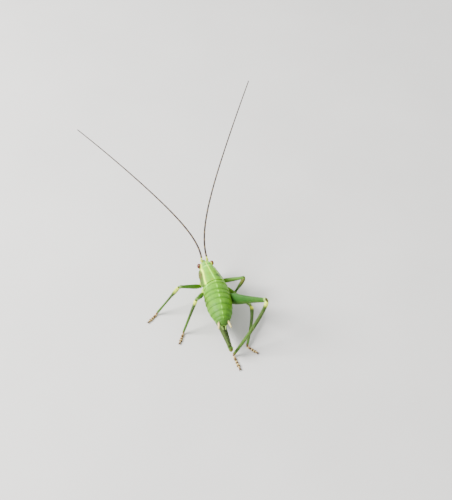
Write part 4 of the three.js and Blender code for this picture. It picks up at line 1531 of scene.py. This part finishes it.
class CRICKET_OT_skin(CricketOperator, bpy.types.Operator):
    """Build the one skin of head, trunk, legs, palps and tail"""

    bl_idname = "cricket.skin"
    bl_label = "Skin"

    def execute(self, context):
        # The hairs' places follow the order of the shells.
        first, second, third = [trunk_shell()], [head_shell()], []
        for leg in LEGS:
            for layer, shells in zip((first, second, third), leg_layers(leg)):
                layer += shells
        first.append(lip_shell())
        third.append(brow_shell())
        for word, side in SIDES.items():
            root, collar = scape_shells(FEELERS[word])
            first.append(root)
            third.append(collar)
            for joints in (LONG_PALP, SHORT_PALP):
                for i, shell in enumerate(palp_shells(joints, side)):
                    (first, third)[i % 2].append(shell)
            cercus, valve = tail_shells(side)
            second.append(cercus)
            third.append(valve)
        skin = shaded(united("skin", (first, second, third)))
        skin.data.materials.clear()
        skin.data.materials.append(cuticle("waxy cuticle", 0.46, 0.11, 0.012))
        flesh = nodes_ending(
            "_coxa", "_femur", "_tibia", "_foot", "_palp", "_scape", "_cercus", "_valve")
        flesh += [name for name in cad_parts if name.startswith("abdomen")]
        trunk = ("head", "neck", "prothorax", "mesothorax", "metathorax", "upper_lip")
        stands(skin, "skin", *trunk, *flesh)
        return {"FINISHED"}


class CRICKET_OT_shield(CricketOperator, bpy.types.Operator):
    """Build the saddle-shaped shield over the front of the thorax"""

    bl_idname = "cricket.shield"
    bl_label = "Shield"

    def execute(self, context):
        shield = shaded(linked("pronotum_shield", shield_mesh()))
        shield.data.materials.append(cuticle("shield cuticle", 0.42, 0.16, 0.02))
        stands(shield, "shield", "pronotum")
        return {"FINISHED"}


class CRICKET_OT_eyes(CricketOperator, bpy.types.Operator):
    """Build the two compound eyes from six-sided lenses"""

    bl_idname = "cricket.eyes"
    bl_label = "Eyes"

    def execute(self, context):
        material, tree = cornea(), eye_tree()
        wide, deep, tall = (radius - 0.01 for radius in EYE.radii)
        for word, sign in SIDES.items():
            ball = bmesh.new()
            bmesh.ops.create_icosphere(ball, subdivisions=5, radius=1.0)
            for vertex in ball.verts:
                x, y, z = vertex.co
                vertex.co = on_trunk(EYE.station - y * deep, EYE.side * sign + x * wide,
                                     EYE.height + z * tall) * MM
            name = f"{word}_eye_lenses"
            mesh = bpy.data.meshes.new(name)
            ball.to_mesh(mesh)
            ball.free()
            eye = shaded(tree.applied(linked(name, mesh), material, name), LENS_CREASE)
            eye_tint_and_highlight(eye.data, sign)
            stands(eye, "eye", f"{word}_eye")
        return {"FINISHED"}


class CRICKET_OT_jaws(CricketOperator, bpy.types.Operator):
    """Build the two jaws, green above and dark at the biting edge"""

    bl_idname = "cricket.jaws"
    bl_label = "Jaws"

    def execute(self, context):
        material = cuticle("jaw cuticle", 0.3, 0.1, 0.01)
        for word, sign in SIDES.items():
            name, shells = f"{word}_jaw", [jaw_shell(sign)]
            jaw = shaded(linked(name, mesh_of(name, shells, lay_out(shells))))
            jaw.data.materials.append(material)
            stands(jaw, "skin", f"{word}_mandible")
        return {"FINISHED"}


class CRICKET_OT_feelers(CricketOperator, bpy.types.Operator):
    """Build the two long feelers, ring by ring"""

    bl_idname = "cricket.feelers"
    bl_label = "Feelers"

    def execute(self, context):
        material = feeler_cuticle()
        tree = ring_tree(sizes().feeler_rings)
        for word, feeler in FEELERS.items():
            name = f"{word}_feeler"
            line = linked(name, line_mesh(name, [feeler_route(feeler)]))
            thirds = [f"{name}_{third}" for third in ("base", "middle", "tip")]
            stands(tree.applied(line, material, name), "feeler", *thirds)
        return {"FINISHED"}


class CRICKET_OT_claws(CricketOperator, bpy.types.Operator):
    """Build the pair of curved claws at the end of each foot"""

    bl_idname = "cricket.claws"
    bl_label = "Claws"

    def execute(self, context):
        shells = [shell for leg in LEGS for shell in claw_shells(leg)]
        claws = shaded(linked("claws", mesh_of("claws", shells, lay_out(shells))))
        claws.data.materials.append(tanned("tanned claw", "umber", 0.25))
        stands(claws, "foot")
        return {"FINISHED"}


class CRICKET_OT_spines(CricketOperator, bpy.types.Operator):
    """Set the rows of spines along the tibiae"""

    bl_idname = "cricket.spines"
    bl_label = "Spines"

    def execute(self, context):
        material = tanned("tanned spine", "foot", 0.3)
        for pair in PAIRS:
            found = [row for leg in LEGS if leg.pair == pair for row in spine_rows(leg)]
            lines, leans = zip(*found)
            name = f"{pair}_spines"
            mesh = line_mesh(name, lines)
            set_attribute(mesh, "lean", "FLOAT_VECTOR", "POINT", np.vstack(leans))
            length = sizes().spine_length * (1.0 if pair == "hind" else 0.8)
            stands(spine_tree(length).applied(linked(name, mesh), material, name), "leg")
        return {"FINISHED"}


class CRICKET_OT_hairs(CricketOperator, bpy.types.Operator):
    """Set fine hairs over the skin"""

    bl_idname = "cricket.hairs"
    bl_label = "Hairs"

    def execute(self, context):
        skin = bpy.data.objects["skin"]
        hairs = linked("fine_hairs", skin.data.copy())
        stands(hair_tree().applied(hairs, hair_keratin(), "fine_hairs"), "skin")
        return {"FINISHED"}


class CRICKET_OT_stage(CricketOperator, bpy.types.Operator):
    """Set the floor, the soft studio light and the camera"""

    bl_idname = "cricket.stage"
    bl_label = "Stage"

    def execute(self, context):
        scene = context.scene
        mesh = bpy.data.meshes.new("floor")
        square = ((-1, -1), (1, -1), (1, 1), (-1, 1))
        corners = [(x * FLOOR_HALF, y * FLOOR_HALF, 0) for x, y in square]
        mesh.from_pydata(corners, [], [(0, 1, 2, 3)])
        floor = linked("floor", mesh)
        mesh.materials.append(plaster())
        world = bpy.data.worlds.new("studio")
        world.use_nodes = True
        hue, strength = ROOM_LIGHT
        background = world.node_tree.nodes["Background"].inputs
        background["Color"].default_value = (*linear(hue), 1.0)
        background["Strength"].default_value = strength
        scene.world = world
        for name, (place, size, power) in SOFTBOXES.items():
            lamp = bpy.data.lights.new(name, "AREA")
            lamp.size = size
            lamp.energy = power
            light = linked(name, lamp)
            light.location = place
            light.rotation_euler = (-Vector(place)).to_track_quat("-Z", "Y").to_euler()
        azimuth, elevation = math.radians(VIEW.azimuth), math.radians(VIEW.elevation)
        back = Vector((math.sin(azimuth) * math.cos(elevation),
                       -math.cos(azimuth) * math.cos(elevation), math.sin(elevation)))
        lens = bpy.data.cameras.new("camera")
        lens.sensor_width = 36.0
        lens.sensor_fit = "HORIZONTAL"
        lens.lens = VIEW.lens
        lens.clip_start = 0.005
        camera = linked("camera", lens)
        camera.location = (Vector(VIEW.target) + back * VIEW.distance) * MM
        camera.rotation_euler = (-back).to_track_quat("-Z", "Y").to_euler()
        scene.camera = camera
        return {"FINISHED"}


class CRICKET_PT_model(bpy.types.Panel):
    """Lists the pieces of the nymph, its sizes and its colours"""

    bl_idname = "CRICKET_PT_model"
    bl_label = "Bush-cricket nymph"
    bl_space_type = "VIEW_3D"
    bl_region_type = "UI"
    bl_category = "Cricket"

    def draw(self, context):
        layout = self.layout
        for operator in PIECES:
            layout.operator(operator.bl_idname)
        for group in (context.scene.cricket_sizes, context.scene.cricket_colours):
            box = layout.box()
            for key in group.bl_rna.properties.keys():
                if key not in {"rna_type", "name"}:
                    box.prop(group, key)


PIECES = (CRICKET_OT_stage, CRICKET_OT_skin, CRICKET_OT_shield, CRICKET_OT_eyes, CRICKET_OT_jaws,
          CRICKET_OT_feelers, CRICKET_OT_claws, CRICKET_OT_spines, CRICKET_OT_hairs)
CLASSES = (CricketColours, CricketSizes, *PIECES, CRICKET_PT_model)


def register():
    for item in CLASSES:
        bpy.utils.register_class(item)
    bpy.types.Scene.cricket_colours = PointerProperty(type=CricketColours)
    bpy.types.Scene.cricket_sizes = PointerProperty(type=CricketSizes)


def unregister():
    del bpy.types.Scene.cricket_colours
    del bpy.types.Scene.cricket_sizes
    for item in reversed(CLASSES):
        bpy.utils.unregister_class(item)


def main():
    register()
    for operator in PIECES:
        group, name = operator.bl_idname.split(".")
        getattr(getattr(bpy.ops, group), name)()


if __name__ == "__main__":
    main()
